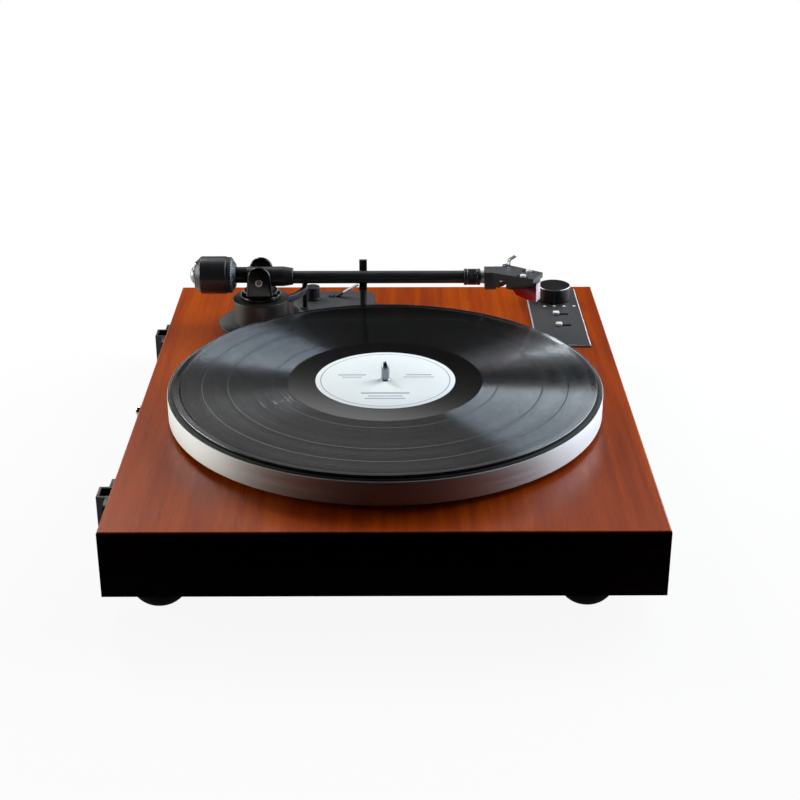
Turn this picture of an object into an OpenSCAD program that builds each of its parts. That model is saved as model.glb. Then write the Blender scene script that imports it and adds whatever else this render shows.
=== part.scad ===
// Belt-driven record player with a pivoted arm, an automatic gear under the platter and a record in place.
// Sizes in millimetres. X runs to the right of the player, Y to its back, Z up from the floor.

/* [Plinth] */
// Width of the plinth from left to right
plinth_w = 435; // [420:1:480]
// Depth of the plinth from front to back
plinth_d = 355; // [345:1:400]
// Height of the plinth without its feet
plinth_h = 46; // [44:1:60]
// Thickness of the deck board
deck_t = 18; // [16:1:20]
// Thickness of the four rails under the deck board
rail_t = 20; // [18:1:24]
// Thickness of the bottom cover
cover_t = 3; // [2:0.5:4]

/* [Feet] */
// Radius of a foot where it meets the plinth
foot_r = 19; // [15:0.5:22]
// Height of a foot
foot_h = 16; // [10:0.5:18]
// Distance of the foot centres from the left and right sides
foot_inset_x = 30; // [26:1:45]
// Distance of the front foot centres from the front
foot_inset_front = 49; // [26:1:60]
// Distance of the rear foot centres from the back
foot_inset_rear = 35; // [26:1:60]

/* [Platter and record] */
// Distance of the spindle to the left of the plinth's centre
spindle_left = 36; // [30:1:40]
// Radius of the platter
platter_r = 155; // [148:0.5:158]
// Gap between the deck and the platter's rim
platter_gap = 3.7; // [3:0.1:5]
// Height of the platter's rim
platter_h = 17; // [16:0.5:22]
// Radius of the record
record_r = 150.8; // [140:0.1:152]
// Thickness of the record
record_t = 1.8; // [1.2:0.1:2.4]
// Radius of the record's label
label_r = 50; // [40:1:54]
// Radius of the spindle's free end
spindle_r = 2.9; // [2.4:0.05:3.3]
// Height of the spindle above the record
spindle_above = 13.8; // [8:0.1:20]

/* [Arm] */
// Distance of the arm's pillar to the right of the plinth's centre
arm_x = 133; // [128:1:145]
// Distance of the arm's pillar behind the plinth's centre
arm_y = 102; // [95:0.5:110]
// Height of the arm's axis above the deck
arm_z = 39.5; // [38:0.5:48]
// Radius of the arm tube
tube_r = 5.15; // [4:0.05:5.3]
// Distance from the pillar to the headshell's back
tube_reach = 181.7; // [178:0.1:190]
// Radius of the pillar
pillar_r = 22.9; // [21:0.1:24]
// Radius of the counterweight
weight_r = 15.2; // [13:0.1:16]
// Angle between the headshell and the tube
offset_angle = 25.5; // [20:0.5:28]

/* [Controls] */
// Length of the control panel
panel_l = 128.2; // [120:0.2:136]
// Width of the control panel
panel_w = 43; // [40:0.5:46]
// Thickness of the control panel
panel_t = 2; // [1.5:0.1:3]
// Distance of the panel's centre from the plinth's right side
panel_in_x = 74.7; // [70:0.1:80]
// Distance of the panel's centre from the plinth's front
panel_in_y = 36.9; // [32:0.1:42]
// Radius of the control knob
knob_r = 13.7; // [11:0.1:15]
// Height of the control knob's top above the deck
knob_top = 14.6; // [11:0.1:18]

/* [Lid sockets] */
// Distance of each lid socket from the plinth's middle
hinge_x = 141; // [120:1:160]
// How far a lid socket stands out behind the plinth
hinge_out = 13; // [12.5:0.1:16]
// Length of a lid socket
hinge_l = 15; // [14:0.1:20]
// Height of a lid socket
hinge_h = 24; // [20:0.5:28]

/* [Fits] */
// Radial gap of a turning fit
run_gap = 0.05; // [0.03:0.01:0.08]
// Gap between moving faces
move_gap = 0.4; // [0.35:0.01:0.5]

/* [Hidden] */
$fn = 96;
deck_z = foot_h + plinth_h;
plinth_cy = -hinge_out / 2;
half_w = plinth_w / 2;
half_d = plinth_d / 2;
rail_h = plinth_h - deck_t;
deck_edge_r = 1.2;
cover_lap = 8;
cover_side = rail_t - cover_lap;
cover_w = plinth_w - 2 * cover_side;
cover_d = plinth_d - 2 * cover_side;
cover_top = -plinth_h + cover_t;
screw_r = 1.6;
screw_head_r = 3.2;
screw_head_h = 1.5;
screw_deep = 12;
screw_in = cover_lap / 2;
screw_rows_x = [-0.4, -0.2, 0.2, 0.4];
screw_rows_y = [-0.2, 0.2];
foot_x = half_w - foot_inset_x;
foot_neck_r = 5;
foot_bead_r = 7;
foot_bead_h = 2.5;
foot_sphere = (pow(foot_r - 8, 2) + pow(foot_h, 2) - pow(foot_r, 2)) / (2 * foot_h);

sx = -spindle_left;
plate_t = 1.5;
housing_r = 12;
housing_flange_r = 20;
housing_flange_h = 1.5;
housing_bottom = cover_top + 1.5;
housing_floor = 2;
ball_r = 3;
ball_z = housing_bottom + housing_floor + ball_r;
shaft_r = 4;
shaft_bottom = ball_z + ball_r + run_gap;
bush_r = 7;
bush_low = shaft_bottom + 4;
housing_top = plate_t + housing_flange_h;
rim_bottom = platter_gap;
rim_top = platter_gap + platter_h;
mat_t = 2.5;
mat_drop = 2;
web_top = rim_top - mat_drop;
web_t = 4;
web_bottom = web_top - web_t;
rim_wall = 8;
lip_w = 1.6;
lip_edge = 0.8;
mat_r = platter_r - lip_w - 0.3;
mat_top = web_top + mat_t;
record_bottom = mat_top;
record_top = mat_top + record_t;
groove_drop = 0.2;
lead_in_w = 4.5;
record_edge = 0.4;
spindle_seat_r = 3.58;
spindle_step = 0.6;
spindle_bullet = 5;
record_hole_r = spindle_seat_r + run_gap;
spindle_top = record_top + spindle_above;
hub_r = 16;
ring_r = 99.2;
ring_w = 4;
ring_bottom = platter_gap + 1.5;
tooth_m = 1;
pinion_n = 14;
cam_n = 70;
tooth_thin = 0.12;
pinion_low = housing_top + 0.8;
pinion_high = web_bottom - 4.1;
cam_c = tooth_m * (pinion_n + cam_n) / 2;
cam_turn = 31;
cam_low = pinion_low + 0.2;
cam_t = pinion_high - pinion_low - 2.2;
cam_pin_r = 4;
cam_shoulder_r = 6;
cam_eccentric = 5;
cam_disc_r = 15;
cam_disc_t = 1.6;
mech_r = cam_c + tooth_m * cam_n / 2 + 6;
belt_t = 1;
belt_w = 5;
belt_gap = 0.3;
belt_ring_steps = 90;
belt_pulley_steps = 12;
belt_low = ring_bottom + 0.8;
pulley_r = 5.45;
pulley_flange_r = 7.6;
pulley_flange_t = 0.9;
motor_c = 118;
motor_turn = 135;
motor_r = 24;
motor_h = min(22, rail_h - cover_t - 2.5);
motor_nose_r = 9;
motor_shaft_r = 1.5;
motor_x = sx + motor_c * cos(motor_turn);
motor_y = motor_c * sin(motor_turn);

flange_r = 35;
flange_t = 2;
tongue_x0 = arm_x - 11;
tongue_x1 = arm_x + 51;
tongue_y0 = arm_y - 93.2;
tongue_join = 20;
platform_back = 24;
platform_side_gap = 2;
tongue_corner = 9;
platform_top = 9;
platform_edge = 1;
pillar_edge = 1;
pillar_top = arm_z - 16.9;
pillar_bore_r = 8;
arm_shaft_r = 5;
arm_shaft_low = -deck_t - 12;
bearing_h = 5;
boss_r = 16.5;
boss_top_r = 13.5;
boss_low = pillar_top + move_gap;
boss_high = arm_z - 10.2;
yoke_top = arm_z - 8.9;
ear_in = 10;
ear_t = 4.2;
ear_w = 19;
ear_arch = ear_w / 2;
ear_arch_z = arm_z + 3.3;
pivot_r = 2.2;
pivot_tip_r = 1.2;
pivot_tip_l = 3.6;
pivot_head_r = 2.9;
pivot_head_t = 0.6;
block_r = 8;
block_rise = 0.8;
block_front = 26.8;
block_cone = 4.4;
block_back = 10.5;
block_seat = 12;
trunnion_r = 4.6;
rear_rise = 2;
stub_r = 6.5;
stub_spigot_r = 4;
stub_spigot_l = 7;
stub_back = 45.5;
weight_bore = stub_r + move_gap;
weight_front = 24.4;
weight_lip = 2.2;
weight_back = 51.4;
weight_cone = 4.2;
weight_end_r = weight_r - 4;
cap_t = 0.9;
cap_dome_r = 7;
cap_dome_h = 4.3;
cap_plug = 2;
dial_front = 19.4;
dial_back = weight_front - move_gap;
dial_front_r = 9.2;
dial_r = weight_r - 0.6;
collar_r = 6.65;
collar_back = tube_reach - 16.7;
neck_r = 4.9;
neck_l = 3.2;
collar_front = tube_reach - neck_l - 0.2;
tube_wall = 1;
tube_end = tube_reach - neck_l - 0.2;
plug_l = 14;

shell_w = 15;
shell_l = 9.3;
shell_top = arm_z + 6.2;
shell_low = arm_z - 8.2;
shell_plate_t = 4;
shell_under = shell_top - shell_plate_t;
shell_front = 35.6;
shell_near = 8.7;
skirt_t = 0.8;
skirt_u0 = 2;
skirt_low = shell_under - 7.7;
skirt_deep_u = 13;
lead_notch_u = 7;
lead_notch_l = 5.4;
lead_notch_top = shell_under - 0.9;
bend_y = arm_y - tube_reach - shell_l;
slot_r = 1.5;
slot_u0 = 20;
slot_u1 = 30;
slot_v = 6.35;
shell_screw_u = 25.8;
shell_screw_r = 1.2;
shell_screw_head_r = 2.4;
shell_screw_head_h = 1.5;
shell_screw_l = 7;
cart_v = 5;
cart_u0 = 11;
cart_u1 = 36.6;
cart_deep = 9.2;
ear_plate_v = 7.7;
ear_plate_t = 2.4;
ear_plate_l = 7;
stylus_v = 4.6;
lead_r = 0.55;
lead_pitch = 2.6;
lead_drop = 1.6;
lead_seat = 2;
tip_u = 28;
tip_h = 1;
tip_z = record_top + 1.3;
finger_v = 14.2;
finger_u = 5.2;
finger_turn = 38;
finger_w = 3.6;
cantilever_r = 0.5;
cantilever_l = 7.6;
cantilever_lean = 50;

lift_r = 36.4;
lift_w = 3.6;
lift_wall = 5.4;
lift_from = -18;
lift_to = 50;
lift_top = arm_z - tube_r - move_gap;
rod_turn = -14;
rod_r = 2;
rod_low = -deck_t + 4;
guide_r = 4;
guide_top = platform_top + 1.5;
rod_x = arm_x - lift_r * sin(rod_turn);
rod_y = arm_y - lift_r * cos(rod_turn);
lever_x = arm_x + 37;
lever_y = arm_y - 57;
lever_z = platform_top - 1.7;
lever_hub_r = 2.8;
lever_w = 4;
lever_t = 1.4;
lever_l = 25.2;
lever_rise = 30;
lever_pin_r = 1.4;
lever_pin_l = lever_w / 2 + move_gap + 2;
lever_slot_front = 5.8;
lever_slot_back = 3.4;
skate_x = arm_x + 32;
skate_y = arm_y - 40.4;
skate_r = 6;
skate_stud_r = 2;
skate_top = platform_top + 10.8;
skate_base_r = 6.9;
skate_base_h = 1.2;
skate_h = skate_top - platform_top - move_gap;
rest_y = arm_y - 83.3;
rest_w = 6.2;
rest_wall = 3;
rest_post_r = 2.9;
rest_collar_r = 4.2;
rest_seat_h = 3.6;
rest_seat_top = arm_z - tube_r - 0.75;
rest_top = arm_z + 12.2;
rest_wall_x = arm_x + tube_r + move_gap;
rest_post_x = rest_wall_x + rest_wall - rest_post_r + 3.1;

panel_x = half_w - panel_in_x;
panel_y = -half_d + panel_in_y;
panel_edge = 1;
knob_x = panel_x + 38.7;
knob_y = panel_y - 1.2;
knob_low = panel_t + move_gap;
knob_shaft_r = 3;
slide_y = panel_y;
slide_x1 = panel_x + 3;
slide_x2 = panel_x - 22;
slide_cap_w = 5;
slide_cap_h = 1.8;
slide_neck = 3;
slide_travel = 8;
slide_slot = slide_neck + slide_travel + 2 * move_gap;
slide_slot_w = slide_neck + 2 * move_gap;
slide_low = -deck_t - 4;
switch_h = 9;
switch_low = -deck_t - switch_h;
selector_w = 22;

hinge_top = -12;
hinge_wall = 2;
hinge_plate_l = 45;
hinge_plate_t = 6.5;
hinge_corner = 5;
hinge_floor = 3;
hinge_screw_x = 16;
hinge_screw_z = hinge_top - hinge_h / 2;

rear_t = 1.5;
rear_l = 112;
rear_h = 26;
rear_x = 14;
rear_z = -deck_t - rail_h / 2 + 2;
jack_x1 = rear_x + 22;
jack_x2 = rear_x + 42;
jack_z = rear_z - 1.5;
jack_r = 4.15;
jack_bore_r = 1.6;
jack_out = 10;
jack_body_r = 5;
jack_flange_r = 6;
jack_in = rail_t + 4;
ground_x = rear_x;
ground_z = rear_z + 5;
ground_r = 2;
ground_nut_r = 4.4;
ground_out = 11.5;
inlet_x = rear_x - 42;
inlet_z = rear_z;
inlet_r = 5.5;
inlet_bore_r = 2.75;
inlet_pin_r = 1;
inlet_deep = 9;
gain_x = rear_x - 20;
gain_z = rear_z;
gain_w = 3;
gain_travel = 4;
board_x = rear_x;
board_l = 112;
board_w = 46;
board_y = half_d - rail_t - 5.5 - board_w / 2;
board_t = 1.6;
board_low = cover_top + 4;
board_top = board_low + board_t;

deck_board();
front_rail();
rear_rail();
side_rails();
bottom_cover();
cover_screws();
feet();
hinge_socket_left();
hinge_socket_right();
hinge_screws();
rear_panel();
rca_jacks();
ground_terminal();
dc_inlet();
gain_switch();
circuit_board();
motor();
motor_pulley();
drive_belt();
mechanism_plate();
cam_gear();
bearing_housing();
bearing_bush();
thrust_ball();
spindle();
drive_pinion();
platter();
platter_mat();
record();
record_label();
arm_base_plate();
arm_platform();
arm_pillar();
pillar_bearings();
arm_shaft();
arm_yoke();
pivot_screws();
arm_bearing_block();
arm_tube();
counterweight_stub();
counterweight();
counterweight_cap();
force_dial();
locking_collar();
headshell();
headshell_screws();
finger_lift();
cartridge_body();
stylus_holder();
cantilever();
headshell_leads();
lift_bar();
lift_lever();
anti_skate_knob();
armrest();
control_panel();
control_knob();
speed_slider();
size_slider();
switch_board();

// Deck coordinates: the middle of the plinth's top face.
module at_deck() {
    translate([0, plinth_cy, deck_z]) children();
}

// Arm coordinates: on the arm's axis above the pillar, +Y towards the counterweight.
module at_arm() {
    at_deck() translate([arm_x, arm_y, arm_z]) children();
}

// The stub's own axis, a little above the tube's.
module at_stub() {
    at_arm() translate([0, 0, rear_rise]) children();
}

// Headshell coordinates: at the bend, +Y backwards along the headshell, +X away from the platter.
module at_shell() {
    at_deck() translate([arm_x, bend_y, 0]) rotate([0, 0, -offset_angle]) children();
}

module rounded_rect(w, d, r) {
    square([w - 2 * r, d], center = true);
    square([w, d - 2 * r], center = true);
    for (ix = [-1, 1], iy = [-1, 1]) {
        translate([ix * (w / 2 - r), iy * (d / 2 - r)]) circle(r);
    }
}

module disc(r, low, high) {
    translate([0, 0, low]) cylinder(r = r, h = high - low);
}

// A plate whose four upper edges slope inwards.
module bevelled_plate(w, d, h, edge) {
    intersection() {
        translate([0, d / 2, 0]) rotate([90, 0, 0]) linear_extrude(d)
            polygon([[-w / 2, 0], [w / 2, 0], [w / 2, h / 2], [w / 2 - edge, h], [-w / 2 + edge, h],
                [-w / 2, h / 2]]);
        translate([-w / 2, 0, 0]) rotate([90, 0, 90]) linear_extrude(w)
            polygon([[-d / 2, 0], [d / 2, 0], [d / 2, h / 2], [d / 2 - edge, h], [-d / 2 + edge, h],
                [-d / 2, h / 2]]);
    }
}

// A solid of revolution about the arm's axis; each point is [radius, distance behind the pillar].
module along_arm(points) {
    rotate([-90, 0, 0]) rotate_extrude() polygon(points);
}

function involute(a) = tan(a) * 180 / PI - a;
function tooth_half(n, m, r) = 90 / n - tooth_thin / (m * n / 2) * 180 / PI / 2 + involute(20)
    - involute(acos(min(1, m * n * cos(20) / 2 / r)));
function gear_start(n, m) = max(m * n / 2 - 1.25 * m, m * n * cos(20) / 2);
function gear_radii(n, m) = [gear_start(n, m), m * n / 2, m * n / 2 + 0.55 * m, m * n / 2 + m];
function tooth_points(n, m, k) = concat(
    [[m * n / 2 - 1.25 * m, 360 * k / n - tooth_half(n, m, gear_start(n, m)) - 2 / n]],
    [for (r = gear_radii(n, m)) [r, 360 * k / n - tooth_half(n, m, r)]],
    [for (i = [3 : -1 : 0]) [gear_radii(n, m)[i], 360 * k / n + tooth_half(n, m, gear_radii(n, m)[i])]],
    [[m * n / 2 - 1.25 * m, 360 * k / n + tooth_half(n, m, gear_start(n, m)) + 2 / n]]);

// An involute spur gear outline with its first tooth on +X.
module gear_outline(n, m) {
    polygon([for (k = [0 : n - 1]) each
        [for (p = tooth_points(n, m, k)) [p[0] * cos(p[1]), p[0] * sin(p[1])]]]);
}

module cover_screw_places() {
    for (ix = screw_rows_x, iy = [-1, 1]) {
        translate([ix * plinth_w, iy * (cover_d / 2 - screw_in), 0]) children();
    }
    for (ix = [-1, 1], iy = screw_rows_y) {
        translate([ix * (cover_w / 2 - screw_in), iy * plinth_d, 0]) children();
    }
}

module foot_places() {
    for (ix = [-1, 1]) {
        translate([ix * foot_x, -half_d + foot_inset_front, 0]) children();
        translate([ix * foot_x, half_d - foot_inset_rear, 0]) children();
    }
}

module slide_hole(x, grow, low, high) {
    translate([x, slide_y - slide_travel / 2, low])
        linear_extrude(high - low) square([slide_slot_w + grow, slide_slot + grow], center = true);
}

// The board's section: square below, its two upper corners rounded.
module deck_section(w) {
    translate([-w / 2, -deck_t]) square([w, deck_t - deck_edge_r]);
    translate([deck_edge_r - w / 2, -deck_edge_r - 1]) square([w - 2 * deck_edge_r, deck_edge_r + 1]);
    for (ix = [-1, 1]) {
        translate([ix * (w / 2 - deck_edge_r), -deck_edge_r]) circle(deck_edge_r);
    }
}

module deck_board() {
    color([0.60, 0.27, 0.06]) at_deck() difference() {
        intersection() {
            translate([0, half_d, 0]) rotate([90, 0, 0]) linear_extrude(plinth_d) deck_section(plinth_w);
            translate([-half_w, 0, 0]) rotate([90, 0, 90]) linear_extrude(plinth_w) deck_section(plinth_d);
        }
        translate([sx, 0, 0]) disc(housing_r + run_gap, -deck_t - 1, 1);
        translate([motor_x, motor_y, 0]) disc(motor_nose_r + move_gap, -deck_t - 1, 1);
        translate([arm_x, arm_y, 0]) disc(arm_shaft_r + 3, -deck_t - 1, 1);
        translate([rod_x, rod_y, 0]) disc(rod_r + 1, -deck_t - 1, 1);
        translate([knob_x, knob_y, 0]) disc(knob_shaft_r + 1.5, -deck_t - 1, 1);
        for (x = [slide_x1, slide_x2]) slide_hole(x, 2, -deck_t - 1, 1);
    }
}

module rail_cuts() {
    translate([0, 0, -plinth_h - 1]) linear_extrude(cover_t + 1) square([cover_w, cover_d], center = true);
    cover_screw_places() disc(screw_r + run_gap, -plinth_h - 1, cover_top + screw_deep);
}

module front_rail() {
    color([0.20, 0.09, 0.03]) at_deck() difference() {
        translate([-half_w, -half_d, -plinth_h]) cube([plinth_w, rail_t, rail_h]);
        rail_cuts();
    }
}

module rear_rail() {
    color([0.20, 0.09, 0.03]) at_deck() difference() {
        translate([-half_w, half_d - rail_t, -plinth_h]) cube([plinth_w, rail_t, rail_h]);
        rail_cuts();
        for (x = [jack_x1, jack_x2]) rear_hole(x, jack_z, jack_body_r + run_gap);
        rear_hole(ground_x, ground_z, ground_r + run_gap);
        rear_hole(inlet_x, inlet_z, inlet_r + run_gap);
        translate([gain_x, half_d - rail_t / 2, gain_z])
            cube([gain_w + gain_travel + 2, rail_t + 2, gain_w + 2], center = true);
        for (ix = [-1, 1], jx = [-1, 1]) {
            translate([ix * hinge_x + jx * hinge_screw_x, half_d, hinge_screw_z])
                rotate([90, 0, 0]) disc(screw_r + run_gap, -1, screw_deep);
        }
    }
}

module rear_hole(x, z, r) {
    translate([x, half_d + 5, z]) rotate([90, 0, 0]) cylinder(r = r, h = rail_t + 10);
}

module side_rails() {
    color([0.20, 0.09, 0.03]) at_deck() difference() {
        for (ix = [0, 1]) {
            translate([-half_w + ix * (plinth_w - rail_t), -half_d + rail_t, -plinth_h])
                cube([rail_t, plinth_d - 2 * rail_t, rail_h]);
        }
        rail_cuts();
    }
}

module bottom_cover() {
    color([0.12, 0.12, 0.12]) at_deck() difference() {
        translate([0, 0, -plinth_h]) linear_extrude(cover_t) square([cover_w, cover_d], center = true);
        cover_screw_places() disc(screw_r + run_gap, -plinth_h - 1, cover_top + 1);
        foot_places() disc(foot_neck_r, -plinth_h - 1, cover_top + 1);
    }
}

module cover_screws() {
    color([0.55, 0.55, 0.56]) at_deck() cover_screw_places() {
        disc(screw_head_r, -plinth_h - screw_head_h, -plinth_h);
        disc(screw_r, -plinth_h, cover_top + screw_deep - 1);
    }
}

module feet() {
    color([0.05, 0.05, 0.05]) at_deck() foot_places() {
        intersection() {
            translate([0, 0, -plinth_h - foot_sphere])
                sphere(r = sqrt(pow(foot_r, 2) + pow(foot_sphere, 2)));
            disc(foot_r + 5, -plinth_h - foot_h, -plinth_h);
        }
        disc(foot_neck_r, -plinth_h, cover_top);
        disc(foot_bead_r, cover_top, cover_top + foot_bead_h);
    }
}

// A lid socket: a screwed plate with an open-topped pocket for the lid's tongue.
module hinge_socket(x) {
    color([0.06, 0.06, 0.06]) at_deck() translate([x, half_d, 0]) difference() {
        union() {
            translate([0, hinge_plate_t, 0]) rotate([90, 0, 0]) linear_extrude(hinge_plate_t)
                translate([0, hinge_top - hinge_h / 2]) rounded_rect(hinge_plate_l, hinge_h, hinge_corner);
            translate([-hinge_l / 2, 0, hinge_top - hinge_h]) cube([hinge_l, hinge_out, hinge_h]);
        }
        translate([-hinge_l / 2 + hinge_wall, hinge_wall, hinge_top - hinge_h + hinge_floor])
            cube([hinge_l - 2 * hinge_wall, hinge_out - 2 * hinge_wall, hinge_h]);
        for (jx = [-1, 1]) {
            translate([jx * hinge_screw_x, 0, hinge_screw_z]) rotate([-90, 0, 0]) {
                disc(screw_r + run_gap, -1, hinge_plate_t + 1);
                disc(screw_head_r + run_gap, hinge_plate_t - screw_head_h, hinge_plate_t + 1);
            }
        }
    }
}

module hinge_socket_left() {
    hinge_socket(-hinge_x);
}

module hinge_socket_right() {
    hinge_socket(hinge_x);
}

module hinge_screws() {
    color([0.55, 0.55, 0.56]) at_deck() for (ix = [-1, 1], jx = [-1, 1]) {
        translate([ix * hinge_x + jx * hinge_screw_x, half_d, hinge_screw_z]) rotate([-90, 0, 0]) {
            disc(screw_head_r, hinge_plate_t - screw_head_h, hinge_plate_t);
            disc(screw_r, -screw_deep + 1, hinge_plate_t - screw_head_h);
        }
    }
}

module rear_panel() {
    color([0.07, 0.07, 0.07]) at_deck() difference() {
        translate([rear_x, half_d + rear_t, rear_z]) rotate([90, 0, 0]) linear_extrude(rear_t)
            rounded_rect(rear_l, rear_h, 2);
        for (x = [jack_x1, jack_x2]) rear_hole(x, jack_z, jack_body_r + run_gap);
        rear_hole(ground_x, ground_z, ground_r + run_gap);
        rear_hole(inlet_x, inlet_z, inlet_r + run_gap);
        translate([gain_x, half_d, gain_z])
            cube([gain_w + gain_travel + 1, 3 * rear_t, gain_w + 1], center = true);
    }
}

module rca_jacks() {
    color([0.80, 0.80, 0.80]) at_deck() for (x = [jack_x1, jack_x2]) {
        translate([x, half_d + rear_t, jack_z]) rotate([-90, 0, 0]) difference() {
            union() {
                disc(jack_body_r, -jack_in, 0);
                disc(jack_flange_r, 0, 1.2);
                disc(jack_r, 1.2, jack_out - rear_t);
            }
            disc(jack_bore_r, -2, jack_out);
        }
    }
}

module ground_terminal() {
    color([0.78, 0.78, 0.76])
    at_deck() translate([ground_x, half_d + rear_t, ground_z]) rotate([-90, 0, 0]) {
        disc(ground_r, -rail_t - 4, 1);
        disc(ground_nut_r + 0.8, 0, 1.2);
        disc(ground_r, 1, 4);
        disc(ground_nut_r, 4, ground_out - rear_t - 1);
        disc(ground_r, ground_out - rear_t - 1, ground_out - rear_t);
    }
}

module dc_inlet() {
    color([0.09, 0.09, 0.09]) at_deck() translate([inlet_x, half_d + rear_t, inlet_z]) rotate([-90, 0, 0]) {
        difference() {
            union() {
                disc(inlet_r, -rail_t - 3, 0);
                disc(inlet_r + 1.5, 0, 1.5);
            }
            disc(inlet_bore_r, -inlet_deep, 3);
        }
        disc(inlet_pin_r, -inlet_deep, -1);
    }
}

module gain_switch() {
    color([0.85, 0.85, 0.83]) at_deck() translate([gain_x - gain_travel / 2, half_d, gain_z]) {
        translate([0, (rear_t + 2 - rail_t) / 2, 0])
            cube([gain_w, rail_t + rear_t + 2, gain_w], center = true);
    }
}

module circuit_board() {
    color([0.07, 0.30, 0.14]) at_deck() translate([board_x, board_y, 0]) {
        translate([-board_l / 2, -board_w / 2, board_low]) cube([board_l, board_w, board_t]);
        for (ix = [-1, 1], iy = [-1, 1]) {
            translate([ix * (board_l / 2 - 5), iy * (board_w / 2 - 5), 0]) disc(3, cover_top, board_low);
        }
        for (i = [-2 : 2]) translate([i * 14, -12, 0]) disc(4, board_top, board_top + 7);
        for (i = [-1, 1]) translate([i * 24 - 6, -3, board_top]) cube([12, 7, 3]);
        translate([-48, -8, board_top]) cube([4, 16, 8]);
    }
}

module motor() {
    color([0.62, 0.63, 0.65]) at_deck() translate([motor_x, motor_y, 0]) difference() {
        union() {
            disc(motor_r, -deck_t - motor_h, -deck_t);
            disc(motor_nose_r, -deck_t, 0);
        }
        disc(motor_shaft_r + run_gap, -deck_t - motor_h + 3, 1);
    }
}

module motor_pulley() {
    color([0.80, 0.66, 0.32]) at_deck() translate([motor_x, motor_y, 0]) {
        disc(motor_shaft_r, -deck_t - motor_h + 4, belt_low - 0.5 - pulley_flange_t);
        disc(pulley_flange_r, belt_low - 0.5 - pulley_flange_t, belt_low - 0.5);
        disc(pulley_r, belt_low - 0.5, belt_low + belt_w + 0.5);
        disc(pulley_flange_r, belt_low + belt_w + 0.5, belt_low + belt_w + 0.5 + pulley_flange_t);
    }
}

// Points on an arc about a place on the X axis, from one angle to another.
function arc_points(r, x, from, to, steps) = [for (i = [0 : steps])
    [x + r * cos(from + (to - from) * i / steps), r * sin(from + (to - from) * i / steps)]];

// The loop around the platter's ring and the pulley, a given distance outside both.
function belt_points(out, tilt) = concat(
    arc_points(ring_r + out, 0, tilt, 360 - tilt, belt_ring_steps),
    arc_points(pulley_r + out, motor_c, -tilt, tilt, belt_pulley_steps));

module drive_belt() {
    tilt = acos((ring_r - pulley_r) / motor_c);
    color([0.03, 0.03, 0.03]) at_deck() translate([sx, 0, belt_low]) rotate([0, 0, motor_turn])
        linear_extrude(belt_w) difference() {
            polygon(belt_points(belt_gap + belt_t, tilt));
            polygon(belt_points(belt_gap, tilt));
        }
}

module mechanism_plate() {
    color([0.58, 0.60, 0.62]) at_deck() translate([sx, 0, 0]) {
        difference() {
            disc(mech_r, 0, plate_t);
            disc(housing_r + run_gap, -1, plate_t + 1);
        }
        rotate([0, 0, cam_turn]) translate([cam_c, 0, 0]) {
            disc(cam_shoulder_r, plate_t, cam_low - 0.3);
            disc(cam_pin_r, cam_low - 0.3, cam_low + cam_t + cam_disc_t + 1);
        }
    }
}

module cam_gear() {
    color([0.88, 0.86, 0.78]) at_deck() translate([sx, 0, 0]) rotate([0, 0, cam_turn])
        translate([cam_c, 0, cam_low]) difference() {
            union() {
                rotate([0, 0, 180 + 180 / cam_n]) linear_extrude(cam_t) gear_outline(cam_n, tooth_m);
                translate([cam_eccentric, 0, 0]) disc(cam_disc_r, cam_t, cam_t + cam_disc_t);
            }
            disc(cam_pin_r + run_gap, -1, cam_t + cam_disc_t + 1);
        }
}

module bearing_housing() {
    color([0.50, 0.51, 0.53]) at_deck() translate([sx, 0, 0]) difference() {
        union() {
            disc(housing_r, housing_bottom, plate_t);
            disc(housing_flange_r, plate_t, housing_top);
        }
        disc(ball_r + run_gap, housing_bottom + housing_floor, shaft_bottom);
        disc(bush_r, shaft_bottom, housing_top + 1);
    }
}

module bearing_bush() {
    color([0.72, 0.55, 0.25]) at_deck() translate([sx, 0, 0]) difference() {
        disc(bush_r, bush_low, housing_top);
        disc(shaft_r + run_gap, bush_low - 1, housing_top + 1);
    }
}

module thrust_ball() {
    color([0.75, 0.76, 0.78]) at_deck() translate([sx, 0, ball_z]) sphere(r = ball_r);
}

module spindle() {
    color([0.80, 0.81, 0.82]) at_deck() translate([sx, 0, 0]) rotate_extrude() polygon([
        [0, shaft_bottom], [shaft_r, shaft_bottom], [shaft_r, web_top], [spindle_seat_r, web_top],
        [spindle_seat_r, record_top + spindle_step / 2], [spindle_r, record_top + 1.5 * spindle_step],
        [spindle_r, spindle_top - spindle_bullet], [spindle_r * 0.86, spindle_top - 2.8],
        [spindle_r * 0.56, spindle_top - 0.9], [spindle_r * 0.28, spindle_top - 0.2], [0, spindle_top]]);
}

module drive_pinion() {
    color([0.88, 0.86, 0.78])
    at_deck() translate([sx, 0, pinion_low]) rotate([0, 0, cam_turn]) difference() {
        linear_extrude(pinion_high - pinion_low) gear_outline(pinion_n, tooth_m);
        disc(shaft_r, -1, pinion_high - pinion_low + 1);
    }
}

module platter() {
    color([0.80, 0.81, 0.82]) at_deck() translate([sx, 0, 0]) rotate_extrude() polygon([
        [shaft_r, pinion_high], [hub_r, pinion_high], [hub_r, web_bottom],
        [ring_r - ring_w, web_bottom], [ring_r - ring_w, ring_bottom], [ring_r, ring_bottom],
        [ring_r, web_bottom], [platter_r - rim_wall, web_bottom], [platter_r - rim_wall, rim_bottom],
        [platter_r - lip_edge, rim_bottom], [platter_r, rim_bottom + lip_edge],
        [platter_r, rim_top - lip_edge], [platter_r - lip_edge, rim_top],
        [platter_r - lip_w, rim_top], [platter_r - lip_w, web_top], [shaft_r, web_top]]);
}

module platter_mat() {
    color([0.06, 0.06, 0.07]) at_deck() translate([sx, 0, 0]) difference() {
        disc(mat_r, web_top, mat_top);
        disc(spindle_seat_r + 1.5, web_top - 1, mat_top + 1);
    }
}

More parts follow.
